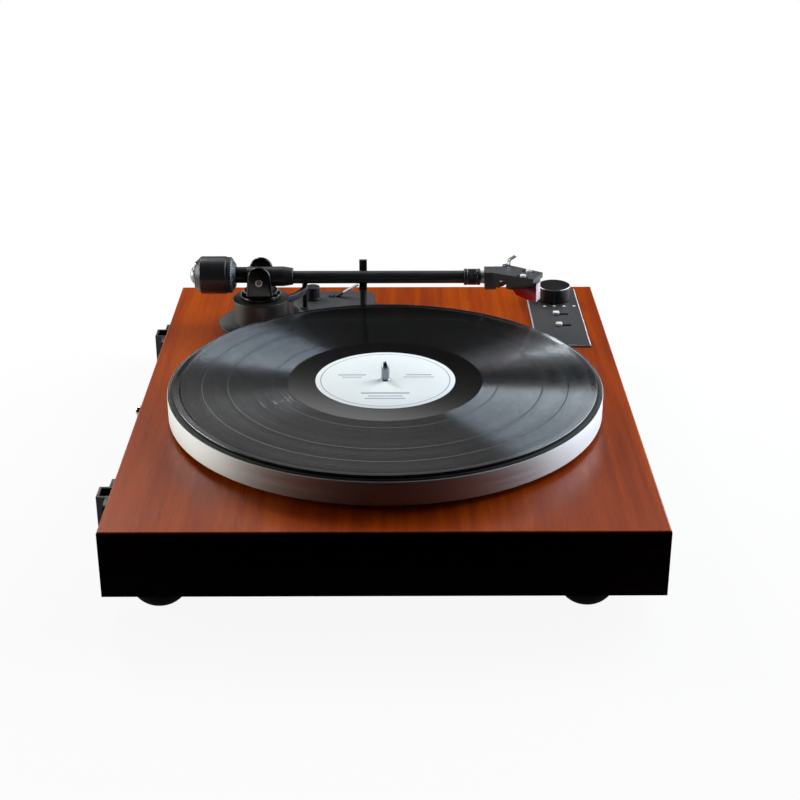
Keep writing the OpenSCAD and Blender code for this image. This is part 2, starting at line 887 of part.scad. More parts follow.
module record() {
    color([0.04, 0.04, 0.05]) at_deck() translate([sx, 0, 0]) rotate_extrude() polygon([
        [record_hole_r, record_bottom], [record_r - record_edge, record_bottom],
        [record_r, record_bottom + record_edge], [record_r, record_top - record_edge],
        [record_r - record_edge, record_top], [record_r - lead_in_w, record_top],
        [record_r - lead_in_w - groove_drop, record_top - groove_drop],
        [record_hole_r, record_top - groove_drop]]);
}

module record_label() {
    color([0.90, 0.94, 0.96]) at_deck() translate([sx, 0, 0]) difference() {
        disc(label_r, record_top - groove_drop, record_top);
        disc(record_hole_r, record_top - groove_drop - 1, record_top + 1);
    }
}

module tongue(grow) {
    translate([(tongue_x0 + tongue_x1) / 2, (tongue_y0 + arm_y) / 2])
        rounded_rect(tongue_x1 - tongue_x0 + 2 * grow, arm_y - tongue_y0 + 2 * grow, tongue_corner + grow);
}

module arm_base_plate() {
    color([0.07, 0.07, 0.08]) at_deck() difference() {
        linear_extrude(flange_t) union() {
            translate([arm_x, arm_y]) circle(flange_r);
            intersection() {
                tongue(0);
                translate([0, tongue_y0 - 1]) square([plinth_w, arm_y - tongue_y0 - tongue_join]);
            }
        }
        translate([arm_x, arm_y, 0]) disc(arm_shaft_r + 1, -1, flange_t + 1);
        translate([rod_x, rod_y, 0]) disc(rod_r + run_gap, -1, flange_t + 1);
        translate([skate_x, skate_y, 0]) disc(skate_stud_r + run_gap, -1, flange_t + 1);
    }
}

module arm_platform() {
    color([0.13, 0.13, 0.14]) at_deck() difference() {
        union() {
            translate([0, 0, flange_t]) linear_extrude(platform_top - platform_edge - flange_t)
                platform_outline(-0.8);
            translate([0, 0, platform_top - platform_edge]) linear_extrude(platform_edge)
                platform_outline(-1.8);
            translate([rod_x, rod_y, 0]) disc(guide_r, flange_t, guide_top);
        }
        translate([rod_x, rod_y, 0]) disc(rod_r + run_gap, -1, guide_top + 1);
        translate([skate_x, skate_y, 0]) disc(skate_stud_r + run_gap, -1, platform_top + 1);
        translate([lever_x, lever_y, lever_z]) rotate([0, 90, 0])
            disc(lever_pin_r + run_gap, -lever_pin_l - run_gap, lever_pin_l + run_gap);
        translate([lever_x - lever_w / 2 - move_gap, lever_y - lever_slot_front, flange_t - 1])
            cube([lever_w + 2 * move_gap, lever_slot_front + lever_slot_back, platform_top]);
    }
}

module platform_outline(grow) {
    difference() {
        intersection() {
            tongue(grow);
            translate([0, tongue_y0 - 1]) square([plinth_w, arm_y - tongue_y0 - platform_back]);
        }
        translate([arm_x, arm_y]) circle(flange_r - 4);
        translate([sx, 0]) circle(platter_r + platform_side_gap);
    }
}

module arm_pillar() {
    color([0.15, 0.15, 0.17]) at_deck() translate([arm_x, arm_y, 0]) rotate_extrude() polygon([
        [pillar_bore_r, flange_t], [pillar_r, flange_t], [pillar_r, pillar_top - pillar_edge],
        [pillar_r - pillar_edge, pillar_top], [pillar_bore_r, pillar_top]]);
}

module pillar_bearings() {
    color([0.70, 0.71, 0.73]) at_deck() translate([arm_x, arm_y, 0]) difference() {
        union() {
            disc(pillar_bore_r, flange_t, flange_t + bearing_h);
            disc(pillar_bore_r, pillar_top - bearing_h, pillar_top);
        }
        disc(arm_shaft_r + run_gap, 0, pillar_top + 1);
    }
}

module arm_shaft() {
    color([0.70, 0.71, 0.73]) at_deck() translate([arm_x, arm_y, 0]) {
        disc(arm_shaft_r, arm_shaft_low, boss_low + 4);
        translate([0, 0, arm_shaft_low + 2]) linear_extrude(2) {
            circle(9);
            translate([-34, -4]) square([34, 8]);
            translate([-34, 0]) circle(4);
        }
    }
}

// The turned boss on the pillar, its bridge and the two arched ears.
module arm_yoke() {
    color([0.04, 0.04, 0.045]) at_deck() translate([arm_x, arm_y, 0]) difference() {
        union() {
            rotate_extrude() polygon([[0, boss_low], [boss_r - 0.6, boss_low], [boss_r, boss_low + 0.6],
                [boss_r, boss_low + 2], [boss_r - 0.7, boss_low + 3.2], [boss_top_r, boss_low + 4.6],
                [boss_top_r, boss_high], [0, boss_high]]);
            translate([-ear_in - ear_t, -ear_arch, boss_high - 1])
                cube([2 * (ear_in + ear_t), ear_w, yoke_top - boss_high + 1]);
            for (ix = [-1, 1]) {
                translate([ix * (ear_in + ear_t / 2) - ear_t / 2, 0, 0]) rotate([90, 0, 90])
                linear_extrude(ear_t) {
                    translate([-ear_arch, boss_high - 1]) square([ear_w, ear_arch_z - boss_high + 1]);
                    translate([0, ear_arch_z]) circle(ear_arch);
                }
            }
        }
        disc(arm_shaft_r, boss_low - 1, boss_low + 4);
        translate([0, 0, arm_z]) rotate([0, 90, 0]) disc(pivot_r, -ear_in - ear_t - 1, ear_in + ear_t + 1);
    }
}

module pivot_screws() {
    color([0.75, 0.76, 0.78]) at_arm() for (turn = [0, 180]) rotate([0, 0, turn]) rotate([0, 90, 0]) {
        disc(pivot_tip_r, ear_in - pivot_tip_l, ear_in);
        disc(pivot_r, ear_in, ear_in + ear_t);
        difference() {
            disc(pivot_head_r, ear_in + ear_t, ear_in + ear_t + pivot_head_t);
            translate([0, 0, ear_in + ear_t + pivot_head_t])
                cube([0.8, 2 * pivot_head_r - 2, pivot_head_t], center = true);
        }
    }
}

module arm_bearing_block() {
    color([0.05, 0.05, 0.055]) at_arm() difference() {
        union() {
            translate([0, 0, block_rise]) along_arm([[0, -block_front], [block_r - 1.2, -block_front],
                [block_r, -block_front + block_cone], [block_r, block_back], [0, block_back]]);
            rotate([0, 90, 0]) disc(trunnion_r, -ear_in + move_gap, ear_in - move_gap);
        }
        rotate([90, 0, 0]) disc(tube_r, block_front - block_seat, block_front + 1);
        translate([0, 0, rear_rise]) rotate([-90, 0, 0])
            disc(stub_spigot_r, block_back - stub_spigot_l, block_back + 1);
        for (turn = [0, 180]) rotate([0, 0, turn]) rotate([0, 90, 0])
            disc(pivot_tip_r + run_gap, ear_in - pivot_tip_l - 0.3, ear_in);
    }
}

module arm_tube() {
    color([0.06, 0.06, 0.065]) at_arm() rotate([90, 0, 0]) difference() {
        disc(tube_r, block_front - block_seat, tube_end);
        disc(tube_r - tube_wall, block_front - block_seat - 1, tube_end + 1);
    }
}

module counterweight_stub() {
    color([0.10, 0.10, 0.11]) at_stub() rotate([-90, 0, 0]) {
        disc(stub_spigot_r, block_back - stub_spigot_l, block_back);
        disc(stub_r, block_back, stub_back);
    }
}

module counterweight() {
    color([0.07, 0.07, 0.08]) at_stub() along_arm([[weight_bore, weight_front], [dial_r, weight_front],
        [dial_r, weight_front + weight_lip], [weight_r, weight_front + weight_lip + 0.6],
        [weight_r, weight_back - weight_cone], [weight_end_r, weight_back], [weight_bore, weight_back]]);
}

module counterweight_cap() {
    color([0.75, 0.76, 0.78]) at_stub() along_arm([[0, weight_back - cap_plug],
        [weight_bore - run_gap, weight_back - cap_plug], [weight_bore - run_gap, weight_back],
        [weight_end_r, weight_back], [weight_end_r - 0.3, weight_back + cap_t],
        [cap_dome_r, weight_back + cap_t], [cap_dome_r * 0.85, weight_back + cap_t + cap_dome_h * 0.6],
        [cap_dome_r * 0.5, weight_back + cap_t + cap_dome_h * 0.92], [0, weight_back + cap_t + cap_dome_h]]);
}

module force_dial() {
    color([0.70, 0.71, 0.73]) at_stub() along_arm([[weight_bore, dial_front], [dial_front_r, dial_front],
        [dial_r - 0.3, dial_back - 1.2], [dial_r, dial_back - 0.8], [dial_r, dial_back],
        [weight_bore, dial_back]]);
}

module locking_collar() {
    color([0.09, 0.09, 0.10]) at_arm() rotate([90, 0, 0]) rotate_extrude() polygon([
        [tube_r + move_gap, collar_back], [collar_r - 0.5, collar_back], [collar_r, collar_back + 0.5],
        [collar_r, collar_back + 3], [collar_r - 0.5, collar_back + 3.4],
        [collar_r - 0.5, collar_back + 4.2], [collar_r, collar_back + 4.6],
        [collar_r, collar_front - 4.4], [collar_r - 0.5, collar_front - 4],
        [collar_r - 0.5, collar_front - 3.2], [collar_r, collar_front - 2.8],
        [collar_r, collar_front - 0.5], [collar_r - 0.5, collar_front], [tube_r + move_gap, collar_front]]);
}

// The headshell's top plate, seen from above, in headshell coordinates.
module shell_outline() {
    polygon([[-7.4, 4], [-shell_near, -3], [-shell_near, -shell_front + 0.6],
        [0.6 - shell_near, -shell_front], [9, -shell_front - 1.3], [9.6, -shell_front - 0.7],
        [14.8, -6], [14.5, -3.2], [8.8, -1], [7, 4]]);
}

// The wedge-shaped side walls under the headshell's plate, with a notch where the leads pass.
module shell_skirts() {
    for (v = [-shell_near, shell_near - skirt_t]) {
        translate([v, 0, 0]) rotate([90, 0, 90]) linear_extrude(skirt_t) polygon([
            [-skirt_u0, shell_under], [-skirt_u0, skirt_low], [-lead_notch_u, skirt_low],
            [-lead_notch_u, lead_notch_top], [-lead_notch_u - lead_notch_l, lead_notch_top],
            [-lead_notch_u - lead_notch_l, skirt_low], [-skirt_deep_u, skirt_low],
            [-shell_front + 0.6, shell_under - 0.2], [-shell_front + 0.6, shell_under]]);
    }
}

module lead_places() {
    for (iv = [-1.5, -0.5, 0.5, 1.5]) {
        v = iv * lead_pitch;
        translate([v, v * tan(offset_angle) + lead_seat, shell_under - lead_drop])
            rotate([90, 0, 0]) children();
    }
}

module headshell() {
    color([0.20, 0.20, 0.21]) {
        difference() {
            union() {
                at_shell() translate([0, 0, shell_under]) linear_extrude(shell_plate_t) shell_outline();
                at_shell() shell_skirts();
                at_deck() translate([arm_x - shell_w / 2, bend_y, shell_low])
                    cube([shell_w, shell_l, shell_top - shell_low]);
                at_arm() rotate([90, 0, 0])
                    disc(tube_r - tube_wall - run_gap, tube_reach - plug_l, tube_reach + 1);
                at_arm() rotate([90, 0, 0]) disc(neck_r, tube_reach - neck_l, tube_reach + 1);
            }
            at_shell() lead_places() disc(lead_r + run_gap, -run_gap, cart_u0);
            at_shell() for (iv = [-1, 1]) translate([iv * slot_v, 0, shell_under - 1])
            linear_extrude(shell_plate_t + 2) {
                translate([-slot_r, -slot_u1 + slot_r]) square([2 * slot_r, slot_u1 - slot_u0 - 2 * slot_r]);
                translate([0, -slot_u1 + slot_r]) circle(slot_r);
                translate([0, -slot_u0 - slot_r]) circle(slot_r);
            }
        }
    }
}

module headshell_screws() {
    color([0.85, 0.85, 0.86]) at_shell() for (iv = [-1, 1]) translate([iv * slot_v, -shell_screw_u, 0]) {
        difference() {
            disc(shell_screw_head_r, shell_top, shell_top + shell_screw_head_h);
            translate([0, 0, shell_top + shell_screw_head_h]) cube([0.8, 10, 1.2], center = true);
        }
        disc(shell_screw_r, shell_top - shell_screw_l, shell_top);
    }
}

module finger_lift() {
    color([0.78, 0.79, 0.80]) at_shell() translate([finger_v, -finger_u, shell_top])
        rotate([0, 0, -finger_turn]) rotate([90, 0, 0]) linear_extrude(finger_w, center = true)
            polygon([[-5, 0], [0.6, 0], [1, 4.2], [6.4, 6.4], [6.1, 7.2], [0.2, 4.9], [-0.3, 1], [-5, 1]]);
}

module cartridge_body() {
    color([0.06, 0.06, 0.065]) at_shell() difference() {
        union() {
            translate([-cart_v, 0, 0]) rotate([90, 0, 90]) linear_extrude(2 * cart_v) polygon([
                [-cart_u0, shell_under], [-cart_u1, shell_under], [-cart_u1, shell_under - 2.1],
                [-16.8, shell_under - cart_deep], [-12, shell_under - cart_deep],
                [-cart_u0, shell_under - 4]]);
            translate([-ear_plate_v, -shell_screw_u - ear_plate_l / 2, shell_under - ear_plate_t])
                cube([2 * ear_plate_v, ear_plate_l, ear_plate_t]);
        }
        for (iv = [-1, 1]) translate([iv * slot_v, -shell_screw_u, 0])
            disc(shell_screw_r, shell_top - shell_screw_l, shell_top);
    }
}

// Cantilever coordinates: at the top of the stylus tip, +Z up along the cantilever into its holder.
module at_cantilever() {
    at_shell() translate([0, -tip_u, tip_z + tip_h]) rotate([-cantilever_lean, 0, 0]) children();
}

module stylus_holder() {
    color([0.45, 0.01, 0.02]) difference() {
        at_shell() translate([-stylus_v, 0, 0]) rotate([90, 0, 90]) linear_extrude(2 * stylus_v) polygon([
            [-16.8, shell_under - cart_deep], [-cart_u1, shell_under - 2.1],
            [-cart_u1 - 0.4, shell_under - 16.4], [-28.5, shell_under - 15.8], [-19.6, shell_under - 13.1]]);
        at_cantilever() disc(cantilever_r + run_gap, 1, cantilever_l + run_gap);
    }
}

module cantilever() {
    color([0.75, 0.76, 0.78]) {
        at_shell() translate([0, -tip_u, tip_z])
            cylinder(r1 = cantilever_r / 2, r2 = cantilever_r, h = tip_h);
        at_cantilever() disc(cantilever_r, 0, cantilever_l);
    }
}

module headshell_leads() {
    color([0.75, 0.10, 0.10]) at_shell() difference() {
        lead_places() disc(lead_r, 0, cart_u0 + lead_seat + cart_v);
        translate([0, -cart_u0 - cart_u1 / 2, shell_under]) cube([cart_u1, cart_u1, cart_u1], center = true);
    }
}

// An arc that stays under the tube over its whole swing, on a rod.
module lift_bar() {
    color([0.30, 0.30, 0.33]) at_deck() {
        translate([arm_x, arm_y, lift_top - lift_wall]) rotate([0, 0, -90 - lift_to])
            rotate_extrude(angle = lift_to - lift_from)
                polygon([[lift_r - lift_w / 2, 0], [lift_r + lift_w / 2, 0],
                    [lift_r + lift_w / 2, lift_wall - 0.6], [lift_r + lift_w / 2 - 0.6, lift_wall],
                    [lift_r - lift_w / 2 + 0.6, lift_wall], [lift_r - lift_w / 2, lift_wall - 0.6]]);
        translate([rod_x, rod_y, 0]) disc(rod_r, rod_low, lift_top - lift_wall + 1);
    }
}

module lift_lever() {
    color([0.80, 0.81, 0.83]) at_deck() translate([lever_x, lever_y, lever_z]) rotate([-lever_rise, 0, 0]) {
        rotate([0, 90, 0]) disc(lever_hub_r, -lever_w / 2, lever_w / 2);
        rotate([0, 90, 0]) disc(lever_pin_r, -lever_pin_l, lever_pin_l);
        translate([-lever_w / 2, -lever_l, -lever_t / 2]) cube([lever_w, lever_l, lever_t]);
    }
}

module anti_skate_knob() {
    color([0.05, 0.05, 0.055]) at_deck() translate([skate_x, skate_y, 0]) {
        disc(skate_stud_r, 0, platform_top + move_gap);
        translate([0, 0, platform_top + move_gap]) rotate_extrude() polygon([[0, 0], [skate_base_r, 0],
            [skate_base_r, skate_base_h], [skate_r, skate_base_h], [skate_r, skate_h - 1.2],
            [skate_r - 0.6, skate_h - 0.4], [skate_r - 1.8, skate_h], [0, skate_h]]);
    }
}

module armrest() {
    color([0.05, 0.05, 0.055]) at_deck() {
        translate([rest_post_x, rest_y, 0]) disc(rest_collar_r, platform_top, platform_top + 2.5);
        translate([rest_post_x, rest_y, 0]) disc(rest_post_r, platform_top, rest_seat_top - 1);
        translate([arm_x - tube_r, rest_y - rest_w / 2, rest_seat_top - rest_seat_h])
            cube([rest_wall_x + rest_wall - arm_x + tube_r, rest_w, rest_seat_h]);
        translate([rest_wall_x, rest_y - rest_w / 2, rest_seat_top - rest_seat_h])
            cube([rest_wall, rest_w, rest_top - rest_seat_top + rest_seat_h]);
    }
}

module control_panel() {
    color([0.17, 0.17, 0.18]) at_deck() difference() {
        translate([panel_x, panel_y, 0]) bevelled_plate(panel_l, panel_w, panel_t, panel_edge);
        translate([knob_x, knob_y, 0]) disc(knob_shaft_r + run_gap, -1, panel_t + 1);
        for (x = [slide_x1, slide_x2]) slide_hole(x, 0, -1, panel_t + 1);
    }
}

module control_knob() {
    color([0.04, 0.04, 0.045]) at_deck() translate([knob_x, knob_y, 0]) {
        disc(knob_shaft_r, switch_low + 2, knob_low);
        rotate_extrude() polygon([[0, knob_low], [knob_r - 0.7, knob_low], [knob_r, knob_low + 0.7],
            [knob_r, knob_top - 1], [knob_r - 0.9, knob_top], [0, knob_top]]);
    }
}

module slider(x) {
    color([0.05, 0.05, 0.055]) at_deck() translate([x, slide_y, 0]) {
        translate([-slide_neck / 2, -slide_neck / 2, slide_low])
            cube([slide_neck, slide_neck, panel_t + move_gap - slide_low]);
        translate([-slide_cap_w / 2, -slide_cap_w / 2, panel_t + move_gap])
            cube([slide_cap_w, slide_cap_w, slide_cap_h]);
    }
}

module speed_slider() {
    slider(slide_x1);
}

module size_slider() {
    slider(slide_x2);
}

// The rotary selector and the two slide switches, on one board under the deck.
module switch_board() {
    color([0.07, 0.30, 0.14]) at_deck() difference() {
        union() {
            translate([slide_x2 - 10, slide_y - selector_w / 2 - 2, switch_low - board_t])
                cube([knob_x + selector_w / 2 - slide_x2 + 10, selector_w + 2, board_t]);
            translate([knob_x - selector_w / 2, knob_y - selector_w / 2, switch_low])
                cube([selector_w, selector_w, switch_h]);
            for (x = [slide_x1, slide_x2]) {
                translate([x, slide_y - slide_travel / 2, switch_low])
                    linear_extrude(switch_h) square([slide_slot_w + 4, slide_slot + 4], center = true);
            }
        }
        translate([knob_x, knob_y, 0]) disc(knob_shaft_r + run_gap, switch_low + 1.5, 0);
        for (x = [slide_x1, slide_x2]) slide_hole(x, 0, slide_low - 1, 0);
    }
}
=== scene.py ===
import bmesh
import bpy
import numpy as np
from mathutils import Matrix, Vector


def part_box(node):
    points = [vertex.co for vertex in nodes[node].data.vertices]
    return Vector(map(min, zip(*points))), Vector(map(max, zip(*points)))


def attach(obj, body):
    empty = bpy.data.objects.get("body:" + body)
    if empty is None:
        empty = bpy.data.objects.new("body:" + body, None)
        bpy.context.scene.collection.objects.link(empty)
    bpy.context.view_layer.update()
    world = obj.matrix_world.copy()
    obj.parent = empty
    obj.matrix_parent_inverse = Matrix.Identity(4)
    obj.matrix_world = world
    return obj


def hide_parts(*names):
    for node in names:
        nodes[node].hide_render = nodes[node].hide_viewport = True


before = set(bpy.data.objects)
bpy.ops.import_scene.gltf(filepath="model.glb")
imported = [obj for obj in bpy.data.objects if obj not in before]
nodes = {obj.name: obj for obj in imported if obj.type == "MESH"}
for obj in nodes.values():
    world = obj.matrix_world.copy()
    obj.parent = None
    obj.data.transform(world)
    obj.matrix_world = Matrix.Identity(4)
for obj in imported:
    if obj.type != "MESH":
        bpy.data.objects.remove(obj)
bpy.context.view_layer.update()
mm = 0.001  # sizes below are millimetres, meshes are metres


def nodeBox(name):
    low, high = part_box(name)
    return np.array(low) / mm, np.array(high) / mm


def middle(name):
    low, high = nodeBox(name)
    return (low + high) / 2


def turnedSize(name):
    # outer radius, bottom and top of an upright turned node
    low, high = nodeBox(name)
    return (high[0] - low[0]) / 2, low[2], high[2]


def newObject(name, data):
    made = bpy.data.objects.new(name, data)
    bpy.context.scene.collection.objects.link(made)
    return made


deckTop = nodeBox("deck_board")[1][2]
onFloor = np.array([1, 1, 0])  # keeps a point's place and drops its height
spindleAxis = middle("record") * onFloor
pillarAxis = middle("arm_pillar") * onFloor
armAxis = pillarAxis + (0, 0, middle("arm_tube")[2])


# Camera: found from the plinth's corners and the record's circle in an 800 x 800 frame
cameraSet = {
    "place": (-1049.8, -12.6, 529.2),
    "yaw": -0.247, "pitch": -24.428, "roll": -0.034,
    "focal": 1546.5, "frame": 800, "sensor": 36.0,
}


def placeCamera(look):
    # the ray ahead from yaw and pitch, then its right and up rays turned by the roll
    yaw, pitch, roll = np.radians([look["yaw"], look["pitch"], look["roll"]])
    ahead = np.array([np.cos(pitch) * np.cos(yaw), np.cos(pitch) * np.sin(yaw), np.sin(pitch)])
    right = np.cross(ahead, (0, 0, 1))
    right /= np.linalg.norm(right)
    up = np.cross(right, ahead)
    right, up = np.cos(roll) * right + np.sin(roll) * up, np.cos(roll) * up - np.sin(roll) * right
    data = bpy.data.cameras.new("camera")
    data.sensor_width = look["sensor"]
    data.lens = look["focal"] / look["frame"] * look["sensor"]
    camera = newObject("camera", data)
    turn = Matrix(np.stack([right, up, -ahead], 1).tolist()).to_4x4()
    camera.matrix_world = Matrix.Translation(Vector(look["place"]) * mm) @ turn
    bpy.context.scene.camera = camera


placeCamera(cameraSet)


# Studio: soft boxes and one strip round a dark room, a pale floor and a white backdrop
studio = {
    "back": {"turn": 18, "rise": 42.5, "roll": -17, "away": 1300, "size": (1500, 850), "power": 3.3,
             "tint": (1, 0.99, 0.97)},
    "right": {"turn": -57, "rise": 31, "roll": 0, "away": 1250, "size": (1000, 1100), "power": 18.0,
              "tint": (0.87, 0.94, 1)},
    "rightLow": {"turn": -82, "rise": 11, "roll": 0, "away": 1250, "size": (1000, 400), "power": 5.6,
                 "tint": (0.84, 0.92, 1)},
    "left": {"turn": 78, "rise": 11, "roll": 0, "away": 1250, "size": (1100, 400), "power": 10.5,
             "tint": (0.97, 0.98, 0.88)},
    "strip": {"turn": 37, "rise": 38, "roll": 0, "away": 1250, "size": (130, 300), "power": 4.5,
              "tint": (1, 1, 0.98)},
}
# the floor's near band is painted shade for every ray but the camera's
surround = {
    "fill": 0.05, "dark": 0.02, "horizon": 0.3, "backdrop": (0.25, 0.6), "ceiling": (-0.02, 0.06),
    "floorSize": 12000, "floorTone": 0.85, "floorGlow": 0.92, "floorMirror": 0.3, "floorShadeNear": (-0.28, -0.2),
    "floorFade": (0.3, 1.0),
}


def softBox(name, box):
    # stands at a turn from the frame's +X, a rise above the floor and a distance, and faces the plinth
    data = bpy.data.lights.new(name, "AREA")
    data.shape = "RECTANGLE"
    data.size, data.size_y = np.array(box["size"]) * mm
    data.energy = box["power"]
    data.color = box["tint"]
    lamp = newObject(name, data)
    turn, rise = np.radians([box["turn"], box["rise"]])
    ray = Vector((np.cos(rise) * np.cos(turn), np.cos(rise) * np.sin(turn), np.sin(rise)))
    facing = ray.to_track_quat("Z", "Y").to_matrix().to_4x4() @ Matrix.Rotation(np.radians(box["roll"]), 4, "Z")
    lamp.matrix_world = Matrix.Translation(ray * box["away"] * mm + Vector((0, 0, deckTop * mm))) @ facing


for boxName, box in studio.items():
    softBox(boxName + "Box", box)


# Shader nodes: each helper adds one or a few to a tree and gives back its output
def add(tree, kind, inputs=None, **settings):
    # settings go on the node, inputs are values or other nodes' outputs
    made = tree.nodes.new("ShaderNode" + kind)
    for key, value in settings.items():
        setattr(made, key, value)
    for key, value in (inputs or {}).items():
        if isinstance(value, bpy.types.NodeSocket):
            tree.links.new(value, made.inputs[key])
        else:
            made.inputs[key].default_value = value
    return made


def calc(tree, how, first, second=0.0):
    return add(tree, "Math", {0: first, 1: second}, operation=how).outputs[0]


def span(tree, value, low, high, newLow=0.0, newHigh=1.0):
    # runs from newLow to newHigh while value runs from low to high
    return add(tree, "MapRange", {"Value": value, "From Min": low, "From Max": high, "To Min": newLow,
                                            "To Max": newHigh}).outputs[0]


def split(tree, vector, axis):
    return add(tree, "SeparateXYZ", {0: vector}).outputs[axis]


def distance(tree, vector):
    return add(tree, "VectorMath", {0: vector}, operation="LENGTH").outputs["Value"]


def vectorCalc(tree, how, first, second, socket=1):
    return add(tree, "VectorMath", {0: first, socket: second}, operation=how).outputs[0]


def normal(tree, kind="True Normal"):
    return add(tree, "NewGeometry").outputs[kind]


def blendValue(tree, share, first, second):
    return add(tree, "Mix", {0: share, 2: first, 3: second}).outputs[0]


def blendColour(tree, share, first, second):
    return add(tree, "Mix", {0: share, 6: first, 7: second}, data_type="RGBA").outputs[2]


def seenRays(tree, mirrored=1.0):
    # 1 for rays that show the surround itself, mirrored for those that reflect it, 0 for those that carry its light
    path = add(tree, "LightPath").outputs
    either = calc(tree, "MAXIMUM", path["Is Glossy Ray"], path["Is Transmission Ray"])
    return calc(tree, "MAXIMUM", calc(tree, "MULTIPLY", either, mirrored), path["Is Camera Ray"])


def makeSurround(look):
    # seen straight it is white; mirrored, it is white low behind the part and dark above and on the near side
    world = bpy.data.worlds.new("surround")
    bpy.context.scene.world = world
    world.use_nodes = True
    tree = world.node_tree
    ray = add(tree, "TexCoord").outputs["Generated"]
    behind = span(tree, split(tree, ray, 0), *look["backdrop"], look["dark"], look["horizon"])
    above = span(tree, split(tree, ray, 2), *look["ceiling"], 1.0, look["dark"])
    straight = add(tree, "LightPath").outputs["Is Camera Ray"]
    shown = calc(tree, "MAXIMUM", calc(tree, "MULTIPLY", behind, above), straight)
    shade = tree.nodes["Background"]
    shade.inputs["Color"].default_value = (1, 1, 1, 1)
    tree.links.new(blendValue(tree, seenRays(tree), look["fill"], shown), shade.inputs["Strength"])

    half = look["floorSize"] / 2 * mm
    mesh = bpy.data.meshes.new("floor")
    mesh.from_pydata([(-half, -half, 0), (half, -half, 0), (half, half, 0), (-half, half, 0)], [], [(0, 1, 2, 3)])
    floor = newObject("floor", mesh)
    material = bpy.data.materials.new("paleFloor")
    material.use_nodes = True
    tree = material.node_tree
    tree.nodes.clear()
    where = add(tree, "TexCoord").outputs["Object"]
    # painted shade: the floor in front of the plinth is dark for every ray but the camera's, and the front faces
    # reflect it and take it as bounce
    ahead = span(tree, split(tree, where, 0), *look["floorShadeNear"], look["dark"], 1.0)
    shadedFloor = calc(tree, "MAXIMUM", ahead, seenRays(tree, 0.0))
    matte = add(tree, "BsdfDiffuse", {"Color": span(tree, shadedFloor, 0.0, 1.0, 0.0, look["floorTone"])})
    glow = add(tree, "Emission", {"Color": shadedFloor, "Strength": 1.0})
    strength = span(tree, distance(tree, where), *look["floorFade"], look["floorGlow"], 1.0)
    share = calc(tree, "MULTIPLY", seenRays(tree, look["floorMirror"]), strength)
    mix = add(tree, "MixShader", {0: share, 1: matte.outputs[0], 2: glow.outputs[0]})
    add(tree, "OutputMaterial", {"Surface": mix.outputs[0]})
    mesh.materials.append(material)


makeSurround(surround)
bpy.context.scene.view_settings.view_transform = "Standard"
print("studio:", len(studio), "lamps")


# Surfaces: every new piece is one or more grids of points, in millimetres
weldGap = 2e-6  # metres


def quads(rows, cols):
    # the four corners of every cell of a grid
    first = (np.arange(rows - 1)[:, None] * cols + np.arange(cols - 1)).ravel()
    return np.stack([first, first + 1, first + cols + 1, first + cols], 1)


def makePiece(name, grids, body, replaced=(), sharp=35):
    # grids are (points, material) pairs; the two grid parameters become the UV map, then seams and poles are welded
    points, corners, spread, finishes = [], [], [], []
    start = 0
    for sheet, material in grids:
        rows, cols = sheet.shape[:2]
        if material not in finishes:
            finishes.append(material)
        cells = quads(rows, cols)
        along, across = np.meshgrid(np.linspace(0, 1, cols), np.linspace(0, 1, rows))
        points.append(sheet.reshape(-1, 3) * mm)
        corners.append(np.column_stack([cells + start, np.full(len(cells), finishes.index(material))]))
        spread.append(np.stack([along, across], -1).reshape(-1, 2))
        start += rows * cols
    points, corners, spread = np.concatenate(points), np.concatenate(corners), np.concatenate(spread)
    mesh = bpy.data.meshes.new(name)
    mesh.from_pydata(points, [], corners[:, :4])
    mesh.uv_layers.new(name="grid").data.foreach_set("uv", spread[corners[:, :4].ravel()].ravel())
    mesh.polygons.foreach_set("material_index", corners[:, 4])
    for material in finishes:
        mesh.materials.append(material)
    shell = bmesh.new()
    shell.from_mesh(mesh)
    bmesh.ops.remove_doubles(shell, verts=shell.verts, dist=weldGap)
    bmesh.ops.dissolve_degenerate(shell, edges=shell.edges, dist=1e-7)
    bmesh.ops.recalc_face_normals(shell, faces=shell.faces)
    shell.to_mesh(mesh)
    shell.free()
    mesh.shade_smooth()
    mesh.set_sharp_from_angle(angle=np.radians(sharp))
    piece = newObject(name, mesh)
    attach(piece, body)
    if replaced:
        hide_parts(*replaced)
    return piece


def soften(corners, cut, steps=4):
    # each inner corner of an open outline becomes a quadratic curve between two points set back from it
    corners = np.asarray(corners, float)
    back, ahead = corners[:-2] - corners[1:-1], corners[2:] - corners[1:-1]
    backLong, aheadLong = np.linalg.norm(back, axis=1), np.linalg.norm(ahead, axis=1)
    inset = np.minimum(cut, 0.45 * np.minimum(backLong, aheadLong))[:, None]
    start = corners[1:-1] + back / backLong[:, None] * inset
    end = corners[1:-1] + ahead / aheadLong[:, None] * inset
    t = np.linspace(0, 1, steps + 1)[None, :, None]
    curve = (1 - t) ** 2 * start[:, None] + 2 * t * (1 - t) * corners[1:-1, None] + t ** 2 * end[:, None]
    return np.concatenate([corners[:1], curve.reshape(-1, 2), corners[-1:]])


def closed(corners, cut, steps=4):
    # a closed outline with every corner softened: it starts and ends in the middle of its last side
    corners = np.asarray(corners, float)
    seam = (corners[-1:] + corners[:1]) / 2
    return soften(np.concatenate([seam, corners, seam]), cut, steps)


def sleeve(bore, rim, low, high):
    # corners of a plain ring's section
    return [(bore, low), (rim, low), (rim, high), (bore, high)]


def revolve(profile, centre, axis="z", steps=192, swing=(0, 360)):
    # every (radius, height) of the profile turned about the axis through centre
    profile = np.asarray(profile, float)
    turn = np.radians(np.linspace(*swing, steps + 1))
    radius, height = profile[:, :1], profile[:, 1:]
    ring = np.stack([radius * np.cos(turn), radius * np.sin(turn), height + 0 * turn], -1)
    order = {"z": [0, 1, 2], "y": [0, 2, 1], "x": [2, 0, 1]}[axis]
    return ring[..., order] + centre


